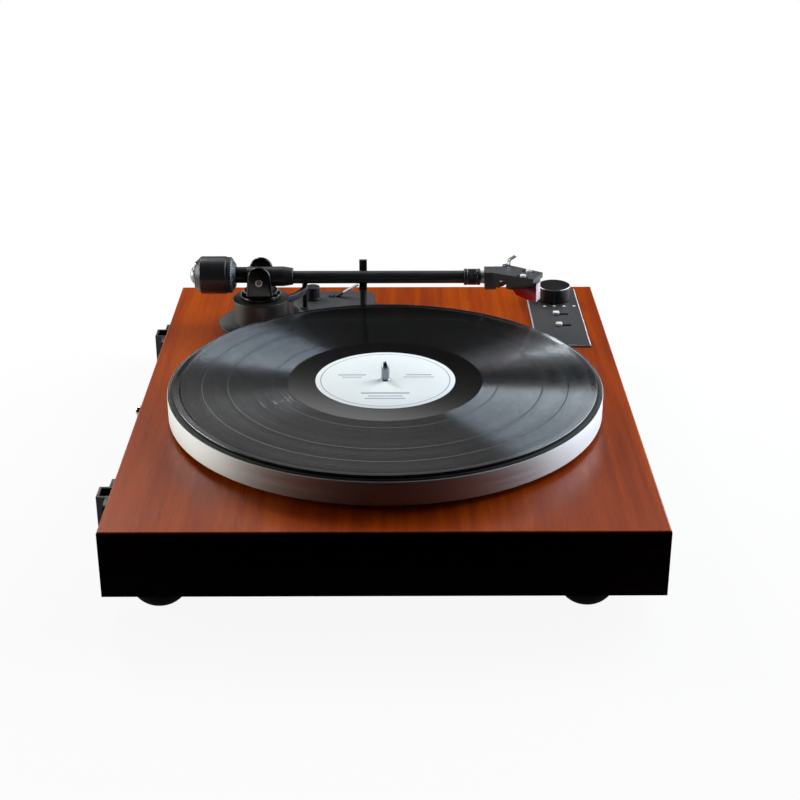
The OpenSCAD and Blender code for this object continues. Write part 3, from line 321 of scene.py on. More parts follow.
def capped(sheet):
    # a ring-shaped grid closed at its first and last column by running each onto its own middle
    first, last = sheet[:, :1].mean(0, keepdims=True), sheet[:, -1:].mean(0, keepdims=True)
    rows = len(sheet)
    return np.concatenate([np.repeat(first, rows, 0), sheet, np.repeat(last, rows, 0)], 1)


def sweep(section, path, up=(0, 0, 1)):
    # a closed section carried along a path, its first axis level and its second kept towards up
    section, path = np.asarray(section, float), np.asarray(path, float)
    ahead = np.gradient(path, axis=0)
    ahead /= np.linalg.norm(ahead, axis=1, keepdims=True)
    side = np.cross(ahead, up)
    side /= np.linalg.norm(side, axis=1, keepdims=True)
    rise = np.cross(side, ahead)
    return capped(path + section[:, :1, None] * side + section[:, 1:, None] * rise)


def circle(radius, steps=16):
    # cosine and sine of the turn, times the radius
    turn = np.linspace(0, 2 * np.pi, steps + 1)
    return radius * np.stack([np.cos(turn), np.sin(turn)], 1)


def bar(width, height):
    # four corners about the middle
    return np.array([(-width, -height), (width, -height), (width, height), (-width, height)]) / 2


def plate(outline, low, high):
    # an outline raised from low to high and closed on its own middle above and below
    outline = np.asarray(outline, float)
    loop = np.concatenate([outline, outline[:1]])
    centre = np.repeat(outline.mean(0, keepdims=True), len(loop), 0)
    rows = [(centre, low), (loop, low), (loop, high), (centre, high)]
    return np.stack([np.column_stack([flat, np.full(len(loop), height)]) for flat, height in rows])


def lay(sheet, origin, right=(0, -1, 0), up=(1, 0, 0)):
    # a flat piece's own x, y and height turned onto right, up and the direction square to both
    right, up = np.asarray(right, float), np.asarray(up, float)
    return origin + sheet[..., :1] * right + sheet[..., 1:2] * up + sheet[..., 2:] * np.cross(right, up)


def easeEdges(name, width):
    # rounds the edges of a node that keeps its own shape
    node = nodes[name]
    node.data.polygons.foreach_set("use_smooth", np.ones(len(node.data.polygons), bool))
    node.modifiers.new("weld", "WELD").merge_threshold = weldGap
    bevel = node.modifiers.new("bevel", "BEVEL")
    bevel.width = width * mm
    bevel.segments = 2
    bevel.limit_method = "ANGLE"
    bevel.angle_limit = np.radians(35)
    bevel.harden_normals = True
    bevel.use_clamp_overlap = True


# Finishes
def tone(red, green, blue):
    # a colour as seen on screen, 0 to 255, in the linear values that a shader takes
    seen = np.array([red, green, blue]) / 255
    linear = np.where(seen <= 0.04045, seen / 12.92, ((seen + 0.055) / 1.055) ** 2.4)
    return (*linear.tolist(), 1.0)


def newFinish(name, **sockets):
    material = bpy.data.materials.new(name)
    material.use_nodes = True
    shade = material.node_tree.nodes["Principled BSDF"]
    for key, value in sockets.items():
        shade.inputs[key.replace("_", " ")].default_value = value
    return material, material.node_tree, shade


def feed(tree, shade, **sockets):
    for key, value in sockets.items():
        tree.links.new(value, shade.inputs[key.replace("_", " ")])


def place(tree, stretch=(1, 1, 1), centre=(0, 0, 0)):
    # object coordinates in metres, moved so that centre is the origin, and stretched
    where = add(tree, "TexCoord").outputs["Object"]
    shifted = vectorCalc(tree, "SUBTRACT", where, tuple(centre))
    return add(tree, "Mapping", {"Vector": shifted, "Scale": stretch}).outputs[0]


def noise(tree, where, scale, detail=3.0, rough=0.55):
    return add(tree, "TexNoise", {"Vector": where, "Scale": scale, "Detail": detail,
                                            "Roughness": rough}).outputs["Fac"]


def ramp(tree, factor, stops, smooth="LINEAR"):
    made = add(tree, "ValToRGB", {"Fac": factor})
    colours = made.color_ramp
    colours.interpolation = smooth
    while len(colours.elements) < len(stops):
        colours.elements.new(0.5)
    for element, (spot, colour) in zip(colours.elements, stops):
        element.position = spot
        element.color = colour
    return made.outputs["Color"]


def bump(tree, height, depth, shade):
    # depth in millimetres
    made = add(tree, "Bump", {"Height": height, "Strength": 1.0, "Distance": depth * mm})
    feed(tree, shade, Normal=made.outputs[0])


def workOver(tree, shade, shift, fine, colour, vary, rough, swing, depth):
    # the colour varies with one pattern, the gloss and relief with the other
    dark = tuple(c * (1 - vary) for c in colour[:3]) + (1.0,)
    light = tuple(min(1.0, c * (1 + vary)) for c in colour[:3]) + (1.0,)
    feed(tree, shade, Base_Color=ramp(tree, shift, [(0.3, dark), (0.7, light)]),
         Roughness=span(tree, fine, 0.3, 0.7, rough * (1 - swing), rough * (1 + swing)))
    bump(tree, fine, depth, shade)


def moulded(name, colour, rough=0.45, grain=0.4, depth=0.01, vary=0.12, level=0.5):
    # moulded plastic, rubber or paint: fine grain of the given size in mm, with slow changes of tone and gloss
    material, tree, shade = newFinish(name, Specular_IOR_Level=level)
    fine = noise(tree, place(tree), 1 / (grain * mm), 2.0)
    workOver(tree, shade, noise(tree, place(tree), 28.0, 2.0), fine, colour, vary, rough, 0.1, depth)
    return material


def brushed(name, colour, rough=0.3, stretch=(1, 1, 1), scale=900.0, vary=0.08, metal=1.0, depth=0.004):
    # worked metal: fine lines along the axis that is stretched least
    material, tree, shade = newFinish(name, Metallic=metal)
    lines = noise(tree, place(tree, stretch), scale, 3.0, 0.6)
    workOver(tree, shade, lines, lines, colour, vary, rough, 0.2, depth)
    return material


def turnedMetal(name, colour, rough=0.3, lines=160.0, vary=0.08, metal=1.0, spread=0.6, depth=0.004):
    # lathe-turned metal: rings that follow the piece's own profile, and a highlight drawn across them
    material, tree, shade = newFinish(name, Metallic=metal, Anisotropic=spread, Anisotropic_Rotation=0.25)
    grid = add(tree, "UVMap", uv_map="grid").outputs[0]
    rings = noise(tree, add(tree, "Mapping", {"Vector": grid, "Scale": (3, lines, 1)}).outputs[0], 1.0, 3.0)
    workOver(tree, shade, rings, rings, colour, vary, rough, 0.15, depth)
    feed(tree, shade, Tangent=add(tree, "Tangent", direction_type="UV_MAP", uv_map="grid").outputs[0])
    return material


# Veneer: grain along X on the deck, along each side on the edges, which are painted darker as painted shade, their
# reflections tinted dark as painted shade too
veneerLook = {
    "deck": [(0.28, tone(142, 50, 2)), (0.45, tone(158, 59, 2)), (0.62, tone(167, 66, 3)), (0.8, tone(178, 75, 6))],
    # the edge tones and the edge glint paint shade on the sides: dark wood and darkened reflections
    "edge": [(0.28, tone(10, 3, 1)), (0.45, tone(18, 6, 2)), (0.62, tone(26, 9, 3)), (0.8, tone(36, 13, 5))],
    "figure": (1.6, 22, 22), "streak": (4, 120, 120), "pore": (70, 1900, 1900),
    "poreTone": tone(60, 18, 2), "poreShare": 0.3, "poreDepth": 0.02,
    "rough": 0.28, "level": 0.2, "deckGlint": tone(255, 255, 255), "edgeShadeGlint": tone(20, 14, 12),
}


def grain(tree, look, axes):
    # broad figure, narrow streaks and short pores, all stretched along the grain, which is the first of the axes
    figure, streak, pore = (place(tree, tuple(np.array(look[name])[axes])) for name in ("figure", "streak", "pore"))
    wood = calc(tree, "ADD", noise(tree, figure, 1.0, 4.0, 0.6), noise(tree, streak, 1.0, 3.0, 0.65))
    return span(tree, wood, 0.6, 1.4), span(tree, noise(tree, pore, 1.0, 1.0), 0.3, 0.42)


def makeVeneer(look):
    material, tree, shade = newFinish("oiledVeneer", Specular_IOR_Level=look["level"])
    wide, pores = grain(tree, look, [0, 1, 2])
    deep, deepPores = grain(tree, look, [1, 0, 2])
    facing = normal(tree)
    across = span(tree, calc(tree, "ABSOLUTE", split(tree, facing, 0)), 0.6, 0.8)
    isTop = span(tree, split(tree, facing, 2), 0.25, 0.5)
    # painted shade: the sides take the dark edge wood and a dark specular tint
    shadedEdgeWood = blendColour(tree, across, ramp(tree, wide, look["edge"]), ramp(tree, deep, look["edge"]))
    wood = blendColour(tree, isTop, shadedEdgeWood, ramp(tree, wide, look["deck"]))
    poreMask = blendValue(tree, across, pores, deepPores)
    poreShare = span(tree, poreMask, 0.0, 1.0, look["poreShare"], 0.0)
    feed(tree, shade, Base_Color=blendColour(tree, poreShare, wood, look["poreTone"]),
         Specular_Tint=blendColour(tree, isTop, look["edgeShadeGlint"], look["deckGlint"]),
         Roughness=span(tree, wide, 0.2, 0.8, look["rough"] * 1.1, look["rough"] * 0.9))
    bump(tree, poreMask, look["poreDepth"], shade)
    return material


veneer = makeVeneer(veneerLook)

# Plain finishes
blackPlastic = moulded("blackPlastic", tone(20, 20, 22), 0.42)
softBlack = moulded("softBlack", tone(30, 30, 32), 0.55, grain=0.6)
hingeBlack = moulded("hingeBlack", tone(20, 20, 22), 0.45, grain=0.6, level=0.3)
footRubber = moulded("footRubber", tone(14, 14, 15), 0.8, grain=0.8, depth=0.02, level=0.1)
beltRubber = moulded("beltRubber", tone(18, 18, 19), 0.7, grain=0.5)
hardboard = moulded("hardboard", tone(38, 36, 34), 0.75, grain=1.2, depth=0.03, vary=0.25)
steel = brushed("zincSteel", tone(172, 176, 182), 0.34, (1, 8, 8), 300.0)
nickel = brushed("nickelPlate", tone(212, 210, 205), 0.2, (1, 1, 1), 700.0)
silver = brushed("satinAluminium", tone(200, 203, 208), 0.28, (1, 6, 6), 400.0)
brass = brushed("brass", tone(200, 165, 90), 0.28, (1, 1, 6), 400.0)
whitePlastic = moulded("whitePlastic", tone(222, 222, 218), 0.4)
gearPlastic = moulded("gearPlastic", tone(226, 221, 204), 0.45, vary=0.05)
boardGreen = moulded("boardGreen", tone(26, 92, 48), 0.4, grain=1.5, vary=0.2)
greyPlastic = moulded("greyPlastic", tone(58, 58, 61), 0.48)
shellPlastic = moulded("shellPlastic", tone(66, 67, 69), 0.42, grain=0.25, depth=0.0015)
screwNickel = brushed("screwNickel", tone(240, 241, 243), 0.45, (1, 1, 1), 700.0, metal=0.3)
blade = brushed("pressedBlade", tone(128, 129, 133), 0.3, (1, 1, 6), 500.0)
cartridgePlastic = moulded("cartridgePlastic", tone(26, 26, 28), 0.35)
blackGloss = moulded("blackLacquer", tone(14, 14, 16), 0.21, grain=0.3, depth=0.0004)
blackAnodised = brushed("blackAnodised", tone(34, 34, 37), 0.34, (8, 1, 8), 400.0, metal=0.6)
liftMetal = brushed("liftMetal", tone(74, 75, 86), 0.36, (1, 1, 8), 400.0)
markWhite = moulded("markWhite", tone(236, 236, 234), 0.6, vary=0.04)


def makePanelMetal():
    # dark anodised plate whose cut bevels are bare metal
    material, tree, shade = newFinish("panelMetal")
    rise = split(tree, normal(tree), 2)
    bare = calc(tree, "MULTIPLY", span(tree, rise, 0.85, 0.97, 1.0, 0.0), span(tree, rise, 0.1, 0.3))
    lines = noise(tree, place(tree, (12, 1, 1)), 260.0, 3.0, 0.6)
    dark = ramp(tree, lines, [(0.3, tone(58, 58, 60)), (0.7, tone(70, 70, 72))])
    feed(tree, shade, Base_Color=blendColour(tree, bare, dark, tone(206, 208, 212)),
         Metallic=span(tree, bare, 0.0, 1.0, 0.25, 1.0), Roughness=span(tree, lines, 0.3, 0.7, 0.4, 0.5))
    return material


def makeGripRed():
    # clear red plastic: darker towards its top; the face that looks ahead along the headshell is painted pale, a
    # painted reflection
    material, tree, shade = newFinish("gripRed", Roughness=0.24)
    low, high = nodeBox("stylus_holder")
    share = span(tree, split(tree, place(tree), 2), low[2] * mm, high[2] * mm)
    body = ramp(tree, share, [(0.15, tone(196, 10, 26)), (0.5, tone(140, 6, 18)), (0.85, tone(52, 3, 8))])
    local = add(tree, "VectorTransform", {0: normal(tree)}, vector_type="NORMAL", convert_from="WORLD",
                convert_to="OBJECT").outputs[0]
    # painted reflection: the forward-facing side is blended to pale pink
    ahead = add(tree, "VectorMath", {0: local, 1: (-0.43, -0.9, 0.0)}, operation="DOT_PRODUCT")
    ahead = span(tree, ahead.outputs["Value"], 0.8, 0.95)
    feed(tree, shade, Base_Color=blendColour(tree, ahead, body, tone(226, 200, 214)))
    bump(tree, noise(tree, place(tree), 2500.0, 2.0), 0.002, shade)
    return material


def makeCapRing():
    # pivot caps: a bright ring round a dark middle, by distance from the pivot's axis along X
    material, tree, shade = newFinish("capRing", Metallic=0.8)
    low, high = nodeBox("pivot_screws")
    radius = distance(tree, place(tree, (0, 1, 1), (low + high) / 2 * mm))
    share = span(tree, radius, 0.0, (high[2] - low[2]) / 2 * mm)
    rings = [(0.3, tone(150, 150, 152)), (0.42, tone(40, 40, 42)), (0.58, tone(44, 44, 46)),
             (0.68, tone(232, 232, 232))]
    feed(tree, shade, Base_Color=ramp(tree, share, rings),
         Roughness=span(tree, noise(tree, place(tree), 900.0), 0.3, 0.7, 0.32, 0.42))
    return material


def makeLeverMetal(bareEnd=0.52, hubStart=0.56):
    # bare metal at the finger end of the lever; towards its hub it is painted black as painted shade, so that it merges
    # with the dark platform, by the share of its length
    material, tree, shade = newFinish("leverMetal")
    low, high = nodeBox("lift_lever")
    bareEnd, hubStart = (low[1] + np.array([bareEnd, hubStart]) * (high[1] - low[1])) * mm
    # painted shade: the hub end of the lever is blended to black
    hub = span(tree, split(tree, place(tree), 1), bareEnd, hubStart)
    lines = noise(tree, place(tree, (8, 1, 8)), 400.0)
    bare = ramp(tree, lines, [(0.3, tone(226, 229, 233)), (0.7, tone(240, 242, 246))])
    feed(tree, shade, Base_Color=blendColour(tree, hub, bare, tone(22, 22, 24)),
         Metallic=span(tree, hub, 0.0, 1.0, 0.35, 0.0), Roughness=span(tree, lines, 0.3, 0.7, 0.26, 0.36))
    return material


# Nodes that keep their own shape: a finish for each, and eased edges in mm on those that show them
nodeFinish = [
    (veneer, "deck_board front_rail rear_rail side_rails"), (hardboard, "bottom_cover"),
    (steel, "cover_screws hinge_screws motor mechanism_plate bearing_housing thrust_ball pillar_bearings arm_shaft"),
    (hingeBlack, "hinge_socket_left hinge_socket_right"), (softBlack, "rear_panel dc_inlet arm_base_plate"),
    (nickel, "rca_jacks ground_terminal"), (whitePlastic, "gain_switch speed_slider size_slider"),
    (boardGreen, "circuit_board switch_board"), (brass, "motor_pulley bearing_bush"), (beltRubber, "drive_belt"),
    (gearPlastic, "cam_gear drive_pinion"), (greyPlastic, "arm_platform"), (blackAnodised, "counterweight_stub"),
    (shellPlastic, "headshell"), (screwNickel, "headshell_screws"), (blade, "finger_lift"), (silver, "cantilever"),
    (cartridgePlastic, "cartridge_body"), (blackPlastic, "armrest"), (makeCapRing(), "pivot_screws"),
    (makeGripRed(), "stylus_holder"), (makeLeverMetal(), "lift_lever"), (makePanelMetal(), "control_panel"),
]
edgeWidth = {
    0.2: "pivot_screws", 0.35: "stylus_holder", 0.5: "arm_base_plate", 0.6: "armrest", 0.7: "arm_platform",
    0.3: "rear_panel headshell_screws finger_lift lift_lever rca_jacks ground_terminal dc_inlet gain_switch "
         "cover_screws",
    0.4: "counterweight_stub cartridge_body speed_slider size_slider bottom_cover",
    0.8: "hinge_socket_left hinge_socket_right",
}
for finish, names in nodeFinish:
    for name in names.split():
        nodes[name].data.materials.clear()
        nodes[name].data.materials.append(finish)
for width, names in edgeWidth.items():
    for name in names.split():
        easeEdges(name, width)
print("finishes:", len(bpy.data.materials), "materials")


# Platter: a spun rim with small rounds, a web on a hub and the belt ring under it
platterSet = {"wall": 8.0, "lip": 1.6, "drop": 2.0, "web": 4.0, "hub": 16.0, "hubDrop": 8.1, "shaft": 4.0,
              "ringOut": 99.2, "ringIn": 95.2, "ringDrop": 13.5, "edge": 0.8,
              "edgeHighlightTone": tone(214, 215, 217), "topTone": tone(26, 26, 27)}


def makeRimMetal(look):
    # by the face's own rise: the rounded edge is painted paler and dull so that the lamps light it as a bright line, a
    # painted highlight; the flat top dark
    material = turnedMetal("satinRim", tone(208, 210, 213), 0.58, 220.0, 0.03)
    tree = material.node_tree
    shade = tree.nodes["Principled BSDF"]
    rise = split(tree, normal(tree, "Normal"), 2)
    highlightEdge, onTop = span(tree, rise, 0.15, 0.35), span(tree, rise, 0.84, 0.92)
    # painted highlight: the rounded edge takes the pale edge tone
    colour = blendColour(tree, highlightEdge, shade.inputs["Base Color"].links[0].from_socket, look["edgeHighlightTone"])
    feed(tree, shade, Base_Color=blendColour(tree, onTop, colour, look["topTone"]),
         Metallic=span(tree, highlightEdge, 0.0, 1.0, 1.0, 0.25))
    return material


def makePlatter(look):
    # one closed profile of rim wall, web, belt ring and hub, turned about the spindle
    rim, bottom, top = turnedSize("platter")
    web = top - look["drop"]
    under, ringFoot, hubFoot = web - look["web"], web - look["ringDrop"], web - look["hubDrop"]
    profile = [(look["hub"], under), (look["ringIn"], under), (look["ringIn"], ringFoot), (look["ringOut"], ringFoot),
               (look["ringOut"], under), (rim - look["wall"], under), (rim - look["wall"], bottom), (rim, bottom),
               (rim, top), (rim - look["lip"], top), (rim - look["lip"], web), (look["shaft"], web),
               (look["shaft"], hubFoot), (look["hub"], hubFoot)]
    sheet = revolve(closed(profile, look["edge"]), spindleAxis, steps=360)
    makePiece("spunPlatter", [(sheet, makeRimMetal(look))], "platter", ["platter"])


makePlatter(platterSet)

# Mat: shallow ribs in rings, and a plain round border outside the record
matSet = {"hole": 5.08, "border": 4.0, "ribPitch": 6.0, "ribDepth": 0.35, "edge": 0.9, "plain": 1.0, "holeDrop": 0.3}
matRubber = moulded("matRubber", tone(10, 10, 11), 0.6, grain=0.7, depth=0.015, level=0.25)


def makeMat(look):
    # top height = flat height less half a cosine of the radius, none in the border
    rim, bottom, top = turnedSize("platter_mat")
    flat = rim - look["border"]
    radius = np.linspace(flat, look["hole"] + look["plain"], 170)
    dip = look["ribDepth"] / 2 * (1 - np.cos(2 * np.pi * (flat - radius) / look["ribPitch"]))
    edge = soften([(look["hole"], bottom), (rim, bottom), (rim, top), (flat, top)], look["edge"])
    hole = [(look["hole"], top - look["holeDrop"]), (look["hole"], bottom)]
    profile = np.concatenate([edge[:-1], np.stack([radius, top - dip], 1), hole])
    makePiece("ribbedMat", [(revolve(profile, spindleAxis, steps=200), matRubber)], "platter",
              ["platter_mat"])


makeMat(matSet)

# Record: raised rim, groove field with plain lands between the tracks, and a run-out
recordSet = {"hole": 3.63, "lip": 4.5, "lipStep": 0.2, "lipSlope": 0.6, "edge": 0.5,
             "lands": [80.0, 94.5, 112.0, 130.0], "landWidth": 0.5, "runOut": 69.0, "lipShare": 0.8,
             "gloss": 0.8, "glint": (0.78, 0.88, 1.0, 1.0), "skin": 0.11, "cover": (0.65, 0.45),
             "outer": (0.45, 0.9), "inner": (0.86, 0.95), "rough": (0.19, 0.25)}


def grooveField(tree, look, radius):
    # 1 in the grooves, 0 on the run-out and the lands, by radius
    full, gap = turnedSize("record")[0], look["landWidth"] / 2
    steps = [(0.0, 0.0), (look["runOut"], 1.0)]
    for land in look["lands"]:
        steps += [(land - gap, 0.0), (land + gap, 1.0)]
    steps.append((full - look["lip"], look["lipShare"]))
    stops = [(spot / full, (share, share, share, 1)) for spot, share in steps]
    return ramp(tree, span(tree, radius, 0.0, full * mm), stops, "CONSTANT")


def makeVinyl(look):
    # groove walls lean out or in along the radius at random, under a smooth skin that is whole on lands and run-out
    material, tree, shade = newFinish("pressedVinyl", Specular_IOR_Level=look["gloss"], Coat_Roughness=look["skin"],
                                      Specular_Tint=look["glint"])
    flat = place(tree, (1, 1, 0), spindleAxis * mm)
    radius = distance(tree, flat)
    groove = grooveField(tree, look, radius)
    turns = add(tree, "TexNoise", {"W": radius, "Scale": 2200.0, "Detail": 4.0, "Roughness": 0.7},
                noise_dimensions="1D").outputs["Fac"]
    quiet = add(tree, "TexNoise", {"W": radius, "Scale": 120.0, "Detail": 2.0},
                noise_dimensions="1D").outputs["Fac"]
    modulation = calc(tree, "MULTIPLY", turns, quiet)
    chance = add(tree, "TexWhiteNoise", {"W": radius}, noise_dimensions="1D").outputs["Value"]
    side = calc(tree, "SIGN", span(tree, chance, 0.0, 1.0, -1.0, 1.0))
    ends = [span(tree, side, -1.0, 1.0, inner, outer) for inner, outer in zip(look["inner"], look["outer"])]
    slope = calc(tree, "MULTIPLY", side, span(tree, turns, 0.3, 0.7, *ends))
    slope = calc(tree, "MULTIPLY", slope, groove)
    outward = add(tree, "VectorMath", {0: flat}, operation="NORMALIZE").outputs[0]
    wall = vectorCalc(tree, "ADD", vectorCalc(tree, "SCALE", outward, slope, "Scale"), (0, 0, 1))
    turned = add(tree, "VectorTransform", {0: wall}, vector_type="NORMAL", convert_from="OBJECT",
                 convert_to="WORLD").outputs[0]
    isTop = span(tree, split(tree, normal(tree), 2), 0.9, 0.95)
    facing = add(tree, "Mix", {0: isTop, 4: normal(tree, "Normal"), 5: turned}, data_type="VECTOR")
    base = ramp(tree, modulation, [(0.12, tone(6, 6, 7)), (0.4, tone(14, 14, 15))])
    worn, cover = (span(tree, modulation, 0.12, 0.4, *look[name]) for name in ("rough", "cover"))
    feed(tree, shade, Normal=facing.outputs[1], Base_Color=blendColour(tree, groove, tone(4, 4, 5), base),
         Roughness=blendValue(tree, groove, look["skin"], worn), Coat_Weight=blendValue(tree, groove, 1.0, cover))
    return material


def makeRecord(look):
    # bottom, rounded rim, lip and field as one profile, turned about the spindle
    rim, bottom, top = turnedSize("record")
    field, lip = top - look["lipStep"], rim - look["lip"]
    outer = soften([(look["hole"], bottom), (rim, bottom), (rim, top), (lip, top), (lip - look["lipSlope"], field),
                    (look["runOut"], field)], look["edge"])
    inner = np.stack([np.linspace(look["runOut"], look["hole"], 24), np.full(24, field)], 1)
    profile = np.concatenate([outer, inner[1:], [(look["hole"], bottom)]])
    makePiece("pressedRecord", [(revolve(profile, spindleAxis, steps=320), makeVinyl(look))], "record",
              ["record"])


makeRecord(recordSet)
print("platter: spun rim, ribbed mat and record")

# Label: pale paper with one thin printed ring and a few plain bars, each (across, along, width, height)
labelSet = {"hole": 3.63, "edge": 0.08, "ring": 46.2, "ringWidth": 0.45, "lift": 0.03, "sunk": 0.01,
            "bars": [(-24, 8, 20, 1.5), (-24, 4, 14, 1.1), (24, 8, 18, 1.5), (24, 4, 22, 1.1), (0, -24, 34, 2.0),
                     (0, -29, 24, 1.3), (0, -33, 28, 1.3)]}


def makeLabelPaper(look):
    # paper fibre, and a ring where the radius is within half a line's width of it
    material, tree, shade = newFinish("labelPaper", Specular_IOR_Level=0.3)
    radius = distance(tree, place(tree, (1, 1, 0), spindleAxis * mm))
    near = calc(tree, "ABSOLUTE", calc(tree, "SUBTRACT", radius, look["ring"] * mm))
    printed = span(tree, near, look["ringWidth"] * mm / 2, look["ringWidth"] * mm, 1.0, 0.0)
    fibre = noise(tree, place(tree), 900.0, 4.0, 0.7)
    paper = ramp(tree, fibre, [(0.3, tone(242, 249, 252)), (0.7, tone(251, 254, 255))])
    feed(tree, shade, Base_Color=blendColour(tree, printed, paper, tone(150, 164, 178)),
         Roughness=span(tree, fibre, 0.3, 0.7, 0.5, 0.62))
    bump(tree, fibre, 0.01, shade)
    return material


def makeLabel(look):
    # a thin ring turned about the spindle, and bars that stand above it by the lift
    rim, bottom, top = turnedSize("record_label")
    profile = closed(sleeve(look["hole"], rim, bottom, top), look["edge"], 2)
    grids = [(revolve(profile, spindleAxis, steps=160), makeLabelPaper(look))]
    ink = moulded("labelInk", tone(150, 166, 182), 0.6, vary=0.05)
    for across, along, width, height in look["bars"]:
        strip = plate(bar(width, height), -look["sunk"], look["lift"])
        grids.append((lay(strip, spindleAxis + (along, -across, top)), ink))
    makePiece("paperLabel", grids, "record", ["record_label"])


makeLabel(labelSet)

# Spindle: seat in the record, a thinner free end and a bullet tip
spindleSet = {"shaft": 4.0, "seat": 3.58, "free": 2.9, "step": 0.6, "bullet": 5.0, "edge": 0.25}
turnedSteel = turnedMetal("turnedSteel", tone(142, 147, 158), 0.3, 120.0, 0.04, spread=0.3)


def makeSpindle(look):
    # straight steps and then a quarter of an ellipse up to the tip, turned about the spindle
    bottom, top = turnedSize("spindle")[1:]
    web = nodeBox("platter_mat")[0][2]
    seat = nodeBox("record")[1][2] + look["step"] / 2
    lean = np.linspace(0, np.pi / 2, 14)[1:]
    tip = np.stack([look["free"] * np.cos(lean), top - look["bullet"] * (1 - np.sin(lean))], 1)
    body = soften([(0, bottom), (look["shaft"], bottom), (look["shaft"], web), (look["seat"], web),
                   (look["seat"], seat), (look["free"], seat + look["step"]), (look["free"], top - look["bullet"])],
                  look["edge"])
    sheet = revolve(np.concatenate([body, tip]), spindleAxis, steps=64)
    spindle = makePiece("turnedSpindle", [(sheet, turnedSteel)], "platter", ["spindle"])
    spindle.visible_glossy = False  # keeps its glint out of the grooves


makeSpindle(spindleSet)
print("record: label and spindle")

# Pillar: a turned sleeve with a bright rounded top edge
pillarSet = {"bore": 8.0, "edge": 1.3}
turnedBronze = turnedMetal("turnedBronze", tone(60, 58, 55), 0.42, 60.0, 0.06, metal=0.25, spread=0.5)


def makePillar(look):
    # a plain ring's section with rounded corners, turned about the pillar's axis
    rim, bottom, top = turnedSize("arm_pillar")
    profile = closed(sleeve(look["bore"], rim, bottom, top), look["edge"], 6)
    makePiece("turnedPillar", [(revolve(profile, pillarAxis, steps=160), turnedBronze)], "plinth",
              ["arm_pillar"])


makePillar(pillarSet)

# Yoke: a turned boss, a low bridge and two arched ears with full rounds
yokeSet = {"foot": 0.6, "rim": 2.0, "neck": (0.7, 3.2), "top": (13.5, 4.6), "below": 10.2, "sunk": 1.0, "bridge": 1.3,
           "overlap": 1.0, "edge": (0.6, 0.4), "earIn": 10.0, "earWall": 4.2, "arch": 9.5, "flare": 1.1, "round": 1.9,
           "faceBand": 0.4}


def makeEar(look, side):
    # an arch on two leaning sides, drawn in by the inset of each step of a rounded edge, from one face to the other
    spring, base = nodeBox("arm_yoke")[1][2] - look["arch"], armAxis[2] - look["below"] - look["sunk"]
    t = np.linspace(0, np.pi / 2, 8)
    inset, depth = look["round"] * (1 - np.sin(t)), look["earWall"] / 2 - look["round"] * (1 - np.cos(t))
    face = inset[:1] + look["faceBand"]
    inset = np.concatenate([face, inset, inset[::-1], face])
    depth = np.concatenate([depth[:1], depth, -depth[::-1], -depth[:1]])
    turn, lean = np.linspace(np.pi, 0, 49), np.linspace(0, 1, 8)
    out = np.concatenate([0 * lean - 1, np.cos(turn), 0 * lean + 1])[:, None]
    up = np.concatenate([0 * lean, np.sin(turn), 0 * lean])[:, None]
    fall = np.concatenate([1 - lean, 0 * turn, lean])[:, None]
    across = (look["arch"] - inset + look["flare"] * fall) * out
    height = spring + (look["arch"] - inset) * up - (spring - base) * fall
    ahead = side * (look["earIn"] + look["earWall"] / 2) + depth + 0 * across
    ring = np.stack([armAxis[0] + ahead, armAxis[1] + across, height], -1)
    return capped(np.concatenate([ring, ring[:1]]))


def makeYoke(look):
    # the boss is a turned profile, the bridge a rounded bar carried from ear to ear
    rim, low = turnedSize("arm_yoke")[:2]
    high = armAxis[2] - look["below"]
    (neckIn, neckRise), (topRadius, topRise), (bossEdge, bridgeEdge) = look["neck"], look["top"], look["edge"]
    boss = soften([(0, low), (rim - look["foot"], low), (rim, low + look["foot"]), (rim, low + look["rim"]),
                   (rim - neckIn, low + neckRise), (topRadius, low + topRise), (topRadius, high), (0, high)], bossEdge)
    tall, reach = look["bridge"] + look["sunk"], look["earIn"] + look["overlap"]
    path = [pillarAxis + (end, 0, high - look["sunk"] + tall / 2) for end in (-reach, reach)]
    bridge = sweep(closed(bar(2 * look["arch"], tall), bridgeEdge), path)
    shells = [revolve(boss, pillarAxis, steps=128), bridge, makeEar(look, -1), makeEar(look, 1)]
    makePiece("archedYoke", [(shell, blackGloss) for shell in shells], "swing", ["arm_yoke"])


makeYoke(yokeSet)

# Arm: turned parts on its own axis, with profiles of (radius, distance behind the pivot)
armSet = {"bore": 6.9, "rearRise": 2.0}  # weight and dial sit a little above the tube's line
tubeBlack = turnedMetal("blackAnodisedTube", tone(76, 76, 79), 0.36, 200.0, 0.06, metal=0.6, spread=0.3)
blackTurned = turnedMetal("blackTurned", tone(64, 64, 67), 0.38, 140.0, 0.06, metal=0.5, spread=0.4)
capSilver = turnedMetal("capSilver", tone(150, 152, 155), 0.34, 90.0, 0.05, spread=0.3)
dialMetal = turnedMetal("dialMetal", tone(52, 57, 68), 0.46, 60.0, 0.08, metal=0.2, spread=0.4)


def alongArm(name):
    # how far behind the pivot a node starts and ends, and its radius
    low, high = nodeBox(name)
    return low[1] - armAxis[1], high[1] - armAxis[1], (high[2] - low[2]) / 2


def turnedOnArm(profile, steps=96, rise=0.0):
    # a profile turned about the arm's axis or a line above it
    return revolve(profile, armAxis + (0, 0, rise), "y", steps)


tubeSet = {"wall": 1.0, "edge": 0.3}


def makeTube(look):
    # a plain ring's section turned about the arm's axis
    front, back, rim = alongArm("arm_tube")
    profile = closed(sleeve(rim - look["wall"], rim, front, back), look["edge"])
    makePiece("armTube", [(turnedOnArm(profile), tubeBlack)], "arm", ["arm_tube"])


blockSet = {"rise": 0.8, "nose": 8.0, "face": 6.8, "edge": 0.8, "stub": 4.6, "stubEnd": 9.6, "stubEdge": 0.5}


